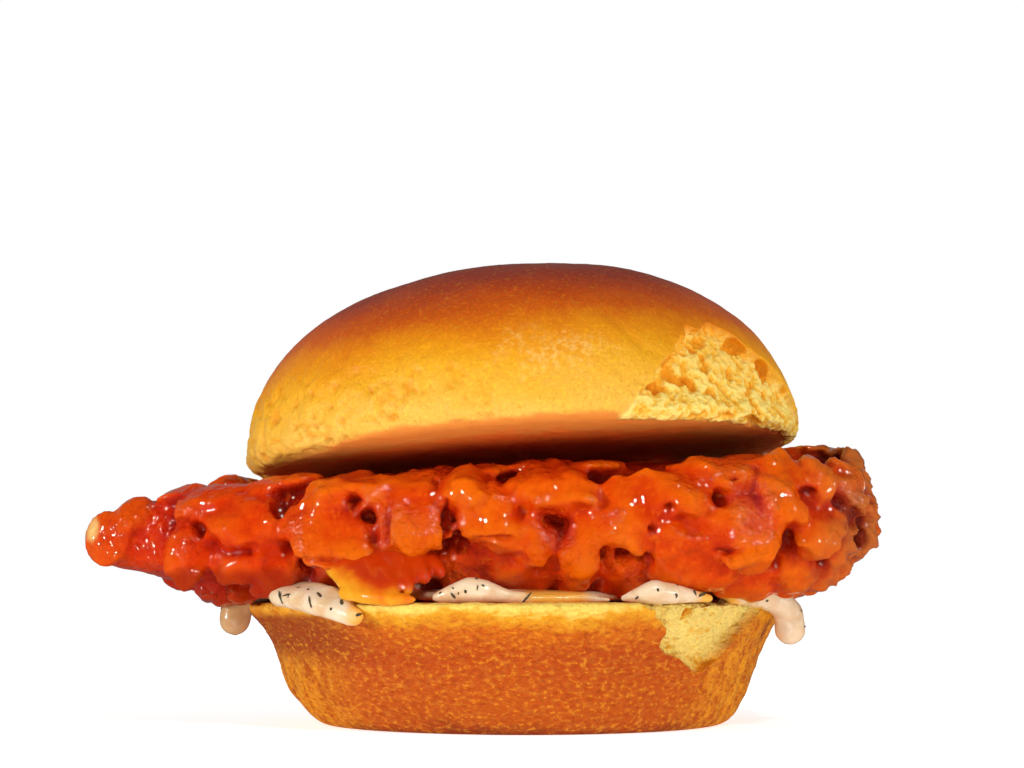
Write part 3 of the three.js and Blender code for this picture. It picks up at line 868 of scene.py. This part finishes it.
def crown_outline():
    """The crown's outline from its top to the middle of its cut face, and how closely it is read."""
    radius, height, power = CROWN["radius"], CROWN["height"], 2 / CROWN["fullness"]
    start = math.asin((CROWN["lip"] / height) ** (1 / power))
    steps = 90
    points = [(0.0, height)]
    for i in range(1, steps + 1):
        angle = math.pi / 2 - (math.pi / 2 - start) * i / steps
        points.append((radius * math.cos(angle) ** power, height * math.sin(angle) ** power))
    edge = radius - CROWN["lip_inset"]
    points += curve_points((radius, CROWN["lip"]), (radius, 0.0), (edge, 0.0), 12)
    densities = [1.0] * (len(points) - 1) + [0.8, 0.2]
    return points + [(edge - 9.0, 0.0), (0.0, 0.0)], densities


def make_crown():
    bm = turned_body(outline_reader(*crown_outline()), *CROWN_GRID)
    height = CROWN["height"]

    def near_tear(place):
        angle = math.atan2(place.y, place.x)
        return place.z > 0.2 and torn_share(CROWN_TEAR, angle, place.z - 1.2, place) > 0

    refined(bm, near_tear, 2)
    torn_layer, baked_layer, cut_layer, crease_shade_layer, pore_layer, inward_layer, painted_glint_layer = value_layers(
        bm, "torn", "baked", "cut", "crease", "pore", "inward", "painted_glint"
    )
    face_edge = CROWN["radius"] - CROWN["lip_inset"]
    for vert in bm.verts:
        place = vert.co.copy()
        angle = math.atan2(place.y, place.x)
        radius = math.hypot(place.x, place.y)
        on_face = 1 - soft_step(radius, face_edge - 2.0, face_edge)
        edge = 1.1 * soft_step(place.x, -32.0, -18.0) - 0.2
        below = 1 - soft_step(place.z + 0.25 * rough_noise(place, 2.5), edge - 0.2, edge + 0.2)
        torn = torn_share(CROWN_TEAR, angle, place.z, place) if place.z > 0.01 else 0.0
        vert[cut_layer] = max(below * (1 - torn), on_face * (1 - soft_step(place.z, 0.0, 0.3)))
        vert[inward_layer] = soft_step(face_edge - radius, -1.0, 26.0)
        # the patch on the front where a painted highlight goes into the crust's colour
        from_painted_glint = math.hypot((place.x - 3.0) / 11.0, (place.z - 9.4) / 4.0) if place.y < 0 else 2.0
        vert[painted_glint_layer] = 1 - soft_step(from_painted_glint + 0.6 * rough_noise(place, 3.0, 3), 0.1, 1.0)
        vert[baked_layer] = place.z / height
        vert[torn_layer] = torn
        if radius > 1 and place.z < height - 1:
            uneven = 0.4 * math.sin(2 * angle + 2.2) + 0.3 * math.sin(3 * angle + 0.4)
            uneven += 0.6 * max(0.0, -math.cos(angle))
            bulge = math.sin(math.pi * min(max(place.z / height, 0.0), 1.0))
            uneven -= 0.7 * max(0.0, math.cos(angle)) * bulge
            draw_in(vert.co, torn * soft_step(place.z, 0.3, 4.5) * CROWN_TEAR["depth"] - uneven)

    def depth_at(vert):
        place, torn = vert.co, vert[torn_layer]
        low = 1 - soft_step(place.z, 5.0, 15.0)
        left = 0.25 + 0.75 * soft_step(-place.x, -4.0, 24.0)
        depth = 0.30 * rough_noise(place, 15.0, 2)
        if vert[cut_layer] > 0.5:
            return 0.15 * rough_noise(place, 2.2, 3)
        if torn > 0:
            tufts = crumb_relief(place)
            on_front = CROWN_PLACE @ place
            for x, z, wide, tall, deep in CROWN_PITS:
                near = math.hypot((on_front.x - x) / wide, (on_front.z - z) / tall)
                tufts -= deep * (1 - soft_step(near + 0.3 * rough_noise(place, 1.5, 2), 0.5, 1.2))
            depth += torn * tufts
            vert[pore_layer] = min(max(0.5 - 0.7 * tufts, 0.0), 1.0)
        skin = 1 - torn
        worked = skin * low * left
        if worked > 0:
            patchy = soft_step(rough_noise(place, 7.0, 2), -0.20, 0.15)
            crease = patchy * crease_share(place, 4.2)
            pit = min(max(0.0, rough_noise(place + Vector((3, 8, 2)), 1.7, 2) - 0.36) * 5.0, 1.0)
            depth += worked * (0.50 * rough_noise(place, 4.0, 2) - 0.75 * crease - 0.75 * pit)
            # the creases and pits are kept for painted shade in the crust's colour
            vert[crease_shade_layer] = worked * min(0.7 * crease + pit, 1.0)
        if place.y < -20:
            on_front = (CROWN_PLACE @ place).xz
            start, end = CROWN_CREASE
            along = min(max((on_front - start).dot(end - start) / (end - start).length_squared, 0.0), 1.0)
            aside = (on_front - start.lerp(end, along)).length + 0.3 * rough_noise(place, 2.0, 2)
            depth -= 0.16 * (1 - soft_step(aside, 0.0, 0.9))
        depth += skin * 0.05 * rough_noise(place, 1.6, 2)
        return depth

    relief(bm, depth_at)
    bmesh.ops.transform(bm, matrix=CROWN_PLACE, verts=bm.verts[:])
    return finished(bm, "crown_of_the_bun", crown_crust_material(), "bun_crown")


def heel_outline():
    """The heel's outline from the middle of its cut face to the middle of its foot."""
    height, waist, rim = HEEL["height"], HEEL["waist"], HEEL["rim"]
    shoulder = (rim - 1.6, height * 0.86)
    belly = (waist, height * 0.3)
    points = [(0.0, height), (rim - 7.0, height), (rim - 1.6, height)]
    points += curve_points((rim - 1.6, height), (rim + 1.2, height), shoulder, 14)
    points += curve_points(shoulder, (waist + 0.8, height * 0.62), belly, 20)
    points += curve_points(belly, (waist - 1.2, 0.2), (HEEL["floor"], 0.0), 20)
    densities = [0.2, 0.8] + [1.0] * 54 + [0.2]
    return points + [(0.0, 0.0)], densities


def make_heel():
    bm = turned_body(outline_reader(*heel_outline()), *HEEL_GRID)
    height = HEEL["height"]

    def near_tear(place):
        angle = math.atan2(place.y, place.x)
        on_wall = math.hypot(place.x, place.y) > HEEL["floor"] + 3
        return on_wall and torn_share(HEEL_TEAR, angle, height - place.z - 1.0, place) > 0

    refined(bm, near_tear, 2)
    torn_layer, level_layer, inward_layer, side_layer, ruddy_layer, pore_layer, cut_layer = value_layers(
        bm, "torn", "level", "inward", "side", "ruddy", "pore", "cut"
    )
    for vert in bm.verts:
        place = vert.co.copy()
        angle = math.atan2(place.y, place.x)
        radius = math.hypot(place.x, place.y)
        on_cut = place.z > height - 0.05 and radius < HEEL["rim"] - 1.5
        vert[cut_layer] = 1.0 if on_cut else 0.0
        vert[inward_layer] = soft_step(HEEL["rim"] - 2.0 - radius, 0.0, 8.0)
        vert[side_layer] = soft_step(abs(math.cos(angle)), 0.60, 0.92) * soft_step(radius, 20.0, 30.0)
        under_rim = soft_step(place.z, 8.0, 12.5) * (1 - soft_step(place.z, 15.5, 17.0))
        vert[ruddy_layer] = under_rim * soft_step(-math.cos(angle), 0.45, 0.75)
        vert[level_layer] = place.z / height
        torn = 0.0
        if radius > HEEL["floor"] * 0.5:
            on_wall = math.sin(math.pi * min(max((place.z - 3) / (height - 3), 0), 1))
            uneven = 0.3 * math.sin(2 * angle + 0.6) + 0.3 * math.sin(3 * angle - 1.1)
            lean = HEEL["right_fullness"] * max(0.0, math.cos(angle)) * on_wall
            torn = torn_share(HEEL_TEAR, angle, height - place.z, place) if radius > HEEL["floor"] else 0.0
            foot = HEEL["left_rounding"] * max(0.0, -math.cos(angle))
            foot *= 1 - soft_step(place.z, 0.0, height * 0.4)
            outer = soft_step(radius, HEEL["floor"] * 0.5, HEEL["floor"])
            draw_in(vert.co, outer * (torn * HEEL_TEAR["depth"] + foot - uneven - lean))
        vert[torn_layer] = torn

    def depth_at(vert):
        place, torn = vert.co, vert[torn_layer]
        if place.z < 0.05:
            return 0.0
        if vert[cut_layer] > 0.5:
            return 0.15 * rough_noise(place, 2.2, 3)
        above_floor = soft_step(place.z, 0.2, 2.5)
        depth = above_floor * 0.28 * rough_noise(place, 12.0, 2)
        if torn > 0:
            tufts = crumb_relief(place)
            depth += torn * tufts
            vert[pore_layer] = min(max(0.32 - 0.7 * tufts, 0.0), 1.0)
        grain = 0.12 * rough_noise(place, 1.5, 3, (1.5, 1.5, 0.9))
        grain -= 0.14 * pore_depth(place, 1.6, 0.3)
        upright = max(0.0, rough_noise(place, 1.8, 3, (1.0, 1.0, 4.0)) - 0.05)
        grain -= 0.8 * vert[side_layer] * min(upright, 0.6)
        return depth + (1 - torn) * above_floor * grain

    relief(bm, depth_at)
    return finished(bm, "heel_of_the_bun", heel_crust_material(), "bun_heel")


# The chicken strip

def station_at(x):
    """A smooth curve through the stations, read at x: middle y, middle z, half width, half height."""
    last = len(STRIP_STATIONS) - 1
    i = 0
    while i < last - 1 and x > STRIP_STATIONS[i + 1][0]:
        i += 1
    before, start, end, after = (STRIP_STATIONS[min(max(k, 0), last)] for k in (i - 1, i, i + 1, i + 2))
    span = end[0] - start[0]
    t = min(max((x - start[0]) / span, 0.0), 1.0)
    t2, t3 = t * t, t * t * t
    values = []
    for k in range(1, 5):
        slope_in = (end[k] - before[k]) / (end[0] - before[0]) * span
        slope_out = (after[k] - start[k]) / (after[0] - start[0]) * span
        values.append(
            (2 * t3 - 3 * t2 + 1) * start[k]
            + (t3 - 2 * t2 + t) * slope_in
            + (3 * t2 - 2 * t3) * end[k]
            + (t3 - t2) * slope_out
        )
    return values


def strip_skin(x, angle):
    """A point of the strip's skin: angle 0 faces front, 90 degrees is the top."""
    middle_y, middle_z, half_width, half_height = station_at(x)
    from_end = min(x - STRIP_STATIONS[0][0], STRIP_STATIONS[-1][0] - x)
    short = 1 - min(max(from_end / STRIP_TIP_ROUND, 0.0), 1.0)
    rounded = math.sqrt(1 - short * short)

    def squared(value):
        return math.copysign(abs(value) ** (2 / STRIP_BOXINESS), value)

    return Vector(
        (
            x,
            middle_y - half_width * rounded * squared(math.cos(angle)),
            middle_z + half_height * rounded * squared(math.sin(angle)),
        )
    )


def add_crag(bm, x, angle, length, height, proud, turn, fineness=3, hang=0.0):
    """A ragged flake of batter sunk into the strip's skin. hang brings its lower edge forward."""
    seat = strip_skin(x, angle)
    lengthwise = (strip_skin(x + 0.3, angle) - strip_skin(x - 0.3, angle)).normalized()
    upward = (strip_skin(x, angle + 0.05) - strip_skin(x, angle - 0.05)).normalized()
    outward = lengthwise.cross(upward).normalized()
    along = Matrix.Rotation(math.radians(turn), 3, outward) @ lengthwise
    across = outward.cross(along)
    spread = CRAG_SPREAD if hang == 0 else 0.9 * CRAG_SPREAD
    size = (length / 2 * spread, height / 2 * spread, proud)
    flake = bmesh.ops.create_icosphere(bm, subdivisions=fineness, radius=1.0)["verts"]
    shift = Vector((x, math.degrees(angle) / 60, length))
    plain = 1 - soft_step(x, -60.0, -48.0)
    for vert in flake:
        flat = Vector((vert.co.x, vert.co.y, 0.0))
        lumps = 1 + (1 - 0.8 * plain) * CRAG_LUMPINESS * noise.noise(vert.co * CRAG_LUMPS + shift)
        ragged = 1 + (1 - plain) * 0.20 * noise.noise(flat * 2.6 + shift * 1.7)
        local = vert.co * lumps
        plate = math.copysign(abs(local.z) ** 0.85, local.z)
        move = along * (local.x * size[0] * ragged) + across * (local.y * size[1] * ragged)
        low = min(max(-move.dot(upward) / size[1], -0.8), 1.1)
        vert.co = seat + move + outward * (plate * size[2] + hang * low)


def front_angle(x, z):
    """The angle at which the strip's skin reaches the height z on the front."""
    _, middle_z, _, half_height = station_at(x)
    rise = min(max((z - middle_z) / half_height, -0.98), 0.98)
    return math.asin(math.copysign(abs(rise) ** (STRIP_BOXINESS / 2), rise))


def add_other_crags(bm):
    """Crags on the sides that the front view hides, by the same rule as in the part's source."""
    throw = dice(SEEDS["other_crags"])
    columns, first_x, last_x, first_angle, last_angle = 11, -55, 45, 100, 300
    for column in range(columns):
        share = column / (columns - 1)
        rows = max(2, round(5 * math.sqrt(math.sin(math.pi * (0.08 + 0.84 * share)))))
        for row in range(rows):
            x = first_x + (last_x - first_x) * share + 5 * (throw() - 0.5) + (row % 2) * 3
            spread = (row + 0.5 + 0.5 * (throw() - 0.5)) / rows
            angle = math.radians(first_angle + (last_angle - first_angle) * spread)
            length = 6.5 + 5.0 * throw()
            height = length * (0.6 + 0.3 * throw())
            size = min(max(station_at(x)[2] / 14, 0.5), 1.0)
            proud = (2.2 if x < 46 else 0.9) * size
            add_crag(bm, x, angle, length * size, height * size, proud, 180 * throw())


def add_end_crags(bm):
    """Folds of batter round the blunt end, shallow at the top and at the bottom."""
    for i in range(7):
        angle = math.radians(-70 + 360 * i / 7)
        low = math.sin(angle) < 0.3
        shallow = abs(math.sin(angle)) > 0.85
        x = (46.6 if low else 49.4) - 1.2 * (i % 2)
        add_crag(bm, x, angle, 8.0, 6.2, 0.8 if shallow else 1.4, 65 + 25 * (i % 3))


def add_knobs(bm):
    """Small knobs of batter over the back and the underside of the strip."""
    throw = dice(SEEDS["knobs"])
    for _ in range(KNOB_COUNT):
        x = -52 + 100 * throw()
        angle = math.radians(110 + 200 * throw())
        size = min(max(station_at(x)[2] / 14, 0.5), 1.0)
        length = (2.4 + 2.6 * throw() ** 2) * size
        height = length * (0.6 + 0.4 * throw())
        proud = (1.0 + 1.3 * throw()) * size
        add_crag(bm, x, angle, length, height, proud, 180 * throw(), 2)


def clear_of_bun(point):
    """Keeps the strip between the cut faces of the bun."""
    up = CROWN_PLACE.to_3x3() @ Vector((0, 0, 1))
    local = CROWN_PLACE.inverted() @ point
    if math.hypot(local.x, local.y) < CROWN["radius"] - 1.5 and local.z > -STRIP_GAP:
        point -= up * (local.z + STRIP_GAP)
    if math.hypot(point.x, point.y) < HEEL["rim"] and point.z < STRIP_UNDERSIDE:
        point.z = STRIP_UNDERSIDE


def make_strip(crown):
    bm = bmesh.new()
    body = bmesh.ops.create_uvsphere(bm, u_segments=72, v_segments=96, radius=1.0)["verts"]
    start, end = STRIP_STATIONS[0][0], STRIP_STATIONS[-1][0]
    for vert in body:
        polar = math.acos(min(max(vert.co.z, -1.0), 1.0))
        share = 0.5 * polar / math.pi + 0.25 * (1 - math.cos(polar))
        x = start + (end - start) * share
        angle = math.atan2(vert.co.y, vert.co.x)
        middle_y, middle_z, _, _ = station_at(x)
        skin = strip_skin(x, angle)
        inward = Vector((0, middle_y, middle_z)) - Vector((0, skin.y, skin.z))
        sunk = 0.9 + 0.3 * soft_step(math.sin(angle), -0.5, 0.3)
        sunk *= soft_step(x, -60.0, -40.0)
        vert.co = skin + inward.normalized() * min(sunk, 0.3 * inward.length)
    bmesh.ops.recalc_face_normals(bm, faces=bm.faces[:])
    for x, z, length, height, proud, turn in FRONT_CRAGS:
        hang = 0.0 if x < CRAG_HANG_FROM else CRAG_HANG * min(height / 8, 1.0)
        add_crag(bm, x, front_angle(x, z), length, height, proud, turn, 4, hang)
    add_other_crags(bm)
    add_end_crags(bm)
    add_knobs(bm)
    bm = one_skin(bm, STRIP_VOXEL)
    largest_island(bm)
    smoothed(bm, 2, 0.5)

    def depth_at(vert):
        place = vert.co
        behind_tip = soft_step(place.x, -58.0, -50.0)
        depth = 0.20 * rough_noise(place, 4.0, 2) + 0.10 * rough_noise(place, 1.6, 2)
        pebbly = soft_step(rough_noise(place + Vector((4, 8, 2)), 8.0, 2), -0.05, 0.2)
        depth += 0.55 * pebbly * max(0.0, 0.55 - noise.voronoi(place / 1.5)[0][0])
        hollow = max(0.0, rough_noise(place + Vector((31, 7, 5)), 5.5, 2) - 0.36)
        depth -= 1.2 * min(hollow, 0.3)
        at_end = soft_step(place.x, 40.0, 48.0)
        if at_end > 0:
            across, along = 0.8 * place.z + 0.6 * place.x, 0.8 * place.x - 0.6 * place.z
            wave = Vector((across / 2.6, along / 8.0, place.y / 7.0))
            depth += at_end * 1.3 * ((1 - abs(noise.fractal(wave, 1.0, 2.0, 2))) ** 3 - 0.5)
        if place.y < -8:
            bent = 0.35 * rough_noise(place, 1.6, 2)
            for x, z, wide, tall, deep in FRONT_HOLLOWS:
                near = ((place.x - x) / wide) ** 2 + ((place.z - z) / tall) ** 2 + bent
                if near < 1:
                    depth -= deep * (1 - max(near, 0.0)) ** 1.3
        return behind_tip * depth

    relief(bm, depth_at)
    smoothed(bm, 1, 0.3)
    for vert in bm.verts:
        clear_of_bun(vert.co)
    stands_out = proudness(bm, 240)
    around = BVHTree.FromBMesh(bm)
    blocked_shares = [max(pair) for pair in zip(painted_shade(bm, around, 5.0, 9), painted_shade(bm, crown, 14.0, 6))]
    proud_layer, crisp_layer, painted_shade_layer, bare_layer, redder_layer = value_layers(
        bm, "proud", "crisp", "painted_shade", "bare", "redder"
    )
    for vert, proud, share in zip(bm.verts, stands_out, blocked_shares):
        vert[proud_layer] = min(max(0.5 + proud / 3.2, 0.0), 1.0)
        # painted shade: darker where rays are blocked by the strip's lobes or the crown, low on the left
        # belly, and where the skin faces down
        low = 1 - soft_step(vert.co.z + 0.8 * rough_noise(vert.co, 4.0, 2), 21.5, 24.5)
        belly = 0.85 * low * (1 - soft_step(vert.co.x, -20.0, -15.0))
        vert[painted_shade_layer] = max(share, belly, 0.55 * soft_step(-vert.normal.z, 0.1, 0.8))
        from_spot = math.hypot((vert.co.x + 62.8) / 1.5, (vert.co.z - 28.8) / 2.2)
        vert[bare_layer] = 1 - soft_step(from_spot + 0.3 * rough_noise(vert.co, 1.6, 2), 0.3, 1.1)
        patchy = 0.65 + 0.9 * rough_noise(vert.co, 9.0, 3)
        vert[crisp_layer] = min(max(soft_step(vert.co.x, 38.0, 48.0) * patchy, 0.0), 1.0)
        vert[redder_layer] = 1 - soft_step(vert.co.x + 4 * rough_noise(vert.co, 8.0, 2), -36.0, -24.0)
    return finished(bm, "glazed_chicken_strip", glazed_batter_material(), "chicken_strip")


# The sauces

def add_drop(bm, place, size, fineness=3):
    """A drop: half sizes along the rim, towards the middle and up."""
    ball = bmesh.ops.create_icosphere(bm, subdivisions=fineness, radius=1.0)["verts"]
    turn = Matrix.Rotation(math.atan2(place[1], place[0]) + math.pi / 2, 3, "Z")
    for vert in ball:
        vert.co = turn @ Vector((vert.co[k] * size[k] for k in range(3))) + Vector(place)


def add_spill(bm, place, size, throw):
    """An irregular spill: small drops piled about a place."""
    out = Vector((place[0], place[1], 0)).normalized()
    side = Vector((-out.y, out.x, 0))
    add_drop(bm, place, Vector(size) * 0.82)
    for _ in range(SPILL_DROPS):
        turn, far = 2 * math.pi * throw(), 0.35 + 0.4 * throw()
        small = 0.40 + 0.25 * throw()
        at = Vector(place) + side * (size[0] * far * math.cos(turn))
        at += Vector((0, 0, size[2] * far * math.sin(turn)))
        at += out * (size[1] * 0.3 * (throw() - 0.5))
        add_drop(bm, at, Vector(size) * small)


def stain_share(point):
    """1 where hot sauce has coloured the white sauce, 0 elsewhere."""
    bent = 1.6 * rough_noise(point, 3.0, 2)
    if point.y > -20:
        return 0.0
    return max(1 - soft_step(abs(point.x - x) + bent, 0.5 * wide, wide) for x, wide in STAINS)


def add_run(bm, stops):
    """A run of sauce: balls set closely along the stops."""
    for start, end in zip(stops, stops[1:]):
        steps = max(2, round(math.dist(start[:3], end[:3]) / RUN_STEP))
        for i in range(steps + 1):
            x, y, z, half = (start[k] + (end[k] - start[k]) * i / steps for k in range(4))
            add_drop(bm, (x, y, z), (half, half, half), 2)


def make_white_sauce():
    throw = dice(SEEDS["white_sauce"])
    bm = bmesh.new()
    puddle = bmesh.ops.create_uvsphere(bm, u_segments=160, v_segments=32, radius=1.0)["verts"]
    power = 2 / PUDDLE["boxiness"]
    for vert in puddle:
        angle = math.atan2(vert.co.y, vert.co.x)
        wavy = 1 + 0.05 * math.sin(3 * angle + 1) + 0.035 * math.sin(7 * angle)
        wavy += 0.02 * math.sin(11 * angle + 2)
        level = math.copysign(abs(vert.co.z) ** power, vert.co.z)
        flat = math.hypot(vert.co.x, vert.co.y) ** power
        reach = PUDDLE["radius"] * wavy * flat
        around = Vector((math.cos(angle) * reach, math.sin(angle) * reach, level * PUDDLE["half_height"]))
        vert.co = around + PUDDLE["middle"]
    for place, size in DROPS:
        add_spill(bm, place, size, throw)
    for stops in RUNS:
        add_run(bm, stops)
    bm = one_skin(bm, WHITE_SAUCE_VOXEL)
    smoothed(bm, 14)
    relief(bm, lambda vert: 0.2 + 0.12 * rough_noise(vert.co, 4.5, 2))
    stain_layer, left_drop_shade_layer = value_layers(bm, "stain", "left_drop_shade")
    for vert in bm.verts:
        vert[stain_layer] = stain_share(vert.co)
        # the far left of the sauce, which is painted darker as painted shade
        vert[left_drop_shade_layer] = 1 - soft_step(vert.co.x, -40.5, -37.5)
    return finished(bm, "herbed_white_sauce", white_sauce_material(), "white_sauce")


def make_hot_sauce():
    bm = bmesh.new()
    throw = dice(SEEDS["hot_sauce"])
    for place, size in HOT_POOLS:
        add_spill(bm, place, size, throw)
    for stops in HOT_RUNS:
        add_run(bm, stops)
    bm = one_skin(bm, HOT_SAUCE_VOXEL)
    smoothed(bm, 16)
    relief(bm, lambda vert: 0.15 + 0.15 * rough_noise(vert.co, 3.0, 2))
    (thick_layer,) = value_layers(bm, "thick")
    for vert in bm.verts:
        level = vert.co.z + 0.6 * min(vert.co.x + 18.5, 0.0) + 1.2 * rough_noise(vert.co, 3.0, 3)
        vert[thick_layer] = soft_step(level, 16.6, 22.0)
    return finished(bm, "hot_sauce_pools", hot_sauce_material())


def make_herbs(sauce):
    """Herb flecks lying on the white sauce where it shows."""
    tree = millimetre_tree(sauce)
    throw = dice(SEEDS["herbs"])
    bm = bmesh.new()
    spots_for_herbs = [(place, size, 4) for place, size in DROPS]
    spots_for_herbs += [(stop[:3], (2.4, 2.0, 1.6), 1) for stops in RUNS for stop in stops]
    for place, size, count in spots_for_herbs:
        for _ in range(count):
            aim = Vector(place)
            out = Vector((aim.x, aim.y, 0)).normalized()
            side = Vector((-out.y, out.x, 0))
            start = aim + out * 12 + side * (2 * throw() - 1) * size[0]
            start += Vector((0, 0, 4 * throw() * size[2]))
            target = aim + side * (2 * throw() - 1) * size[0] * 0.8
            target += Vector((0, 0, (2 * throw() - 1) * size[2]))
            hit, normal, _, _ = tree.ray_cast(start, (target - start).normalized())
            spin, length, width = 180 * throw(), 0.4 + 2.2 * throw() ** 1.5, 0.22 + 0.38 * throw()
            if hit is None:
                continue
            flake = bmesh.ops.create_icosphere(bm, subdivisions=1, radius=0.5)["verts"]
            lying = normal.to_track_quat("Z", "Y").to_matrix()
            lying = lying @ Matrix.Rotation(math.radians(spin), 3, "Z")
            for vert in flake:
                local = Vector((vert.co.x * length, vert.co.y * width, vert.co.z * 0.18))
                local.z += 0.12 * math.sin(3 * local.x)
                vert.co = hit + lying @ local
    return finished(bm, "herb_flecks", herb_material())


# Table, light and camera

def make_table():
    bm = bmesh.new()
    bmesh.ops.create_grid(bm, x_segments=1, y_segments=1, size=TABLE_REACH)
    bmesh.ops.translate(bm, vec=(0, 0, -TABLE_DROP), verts=bm.verts[:])
    table = as_object(bm, "table")
    material, tree = new_material("pale_table")
    mirrored = add(tree, "LightPath").outputs["Is Glossy Ray"]
    seen = times(tree, add(tree, "LightPath").outputs["Is Camera Ray"], 0.25)
    glow = maths(tree, "ADD", seen, maths(tree, "SUBTRACT", 0.45, times(tree, mirrored, 0.42)))
    pale = blend(tree, times(tree, mirrored, 0.85), (0.92, 0.92, 0.92), (0.0, 0.0, 0.0))
    finish = {"Base Color": pale, "Roughness": 0.7, "Specular IOR Level": 0.1}
    closed(tree, finish | {"Emission Color": (1.0, 1.0, 1.0, 1.0), "Emission Strength": glow})
    table.data.materials.append(material)
    # the card's light comes up through the table
    table.visible_shadow = False


def add_lamp(name, side, strength, width):
    """A lamp far off on that side."""
    data = bpy.data.lights.new(name, "SUN")
    data.energy = strength
    data.angle = math.radians(width)
    lamp = bpy.data.objects.new(name, data)
    lamp.location = side
    lamp.rotation_euler = Vector(side).to_track_quat("Z", "Y").to_euler()
    bpy.context.scene.collection.objects.link(lamp)


def light_the_table():
    world = bpy.data.worlds.new("studio")
    world.use_nodes = True
    tree = world.node_tree
    # the backdrop is white, and what it sheds on the burger is softer
    seen = add(tree, "LightPath").outputs["Is Camera Ray"]
    mirrored = add(tree, "LightPath").outputs["Is Glossy Ray"]
    shed = maths(tree, "ADD", times(tree, seen, 1.0 - SKY_LIGHT), SKY_LIGHT)
    strength = maths(tree, "SUBTRACT", shed, times(tree, mirrored, SKY_LIGHT - SKY_GLOSS))
    tree.nodes["Background"].inputs["Color"].default_value = (1.0, 1.0, 1.0, 1.0)
    tree.links.new(strength, tree.nodes["Background"].inputs["Strength"])
    bpy.context.scene.world = world
    for lamp in LAMPS:
        add_lamp(*lamp)


def place_camera():
    data = bpy.data.cameras.new("camera")
    data.lens = CAMERA_LENS
    data.sensor_width = CAMERA_SENSOR
    data.clip_start = 0.01
    camera = bpy.data.objects.new("camera", data)
    camera.location = CAMERA_PLACE
    camera.rotation_euler = (math.radians(CAMERA_PITCH), 0.0, 0.0)
    bpy.context.scene.collection.objects.link(camera)
    bpy.context.scene.camera = camera
    bpy.context.scene.view_settings.view_transform = "Standard"


place_camera()
light_the_table()
make_table()
crown = make_crown()
make_heel()
make_strip(millimetre_tree(crown))
white_sauce = make_white_sauce()
make_hot_sauce()
make_herbs(white_sauce)

bpy.context.view_layer.update()
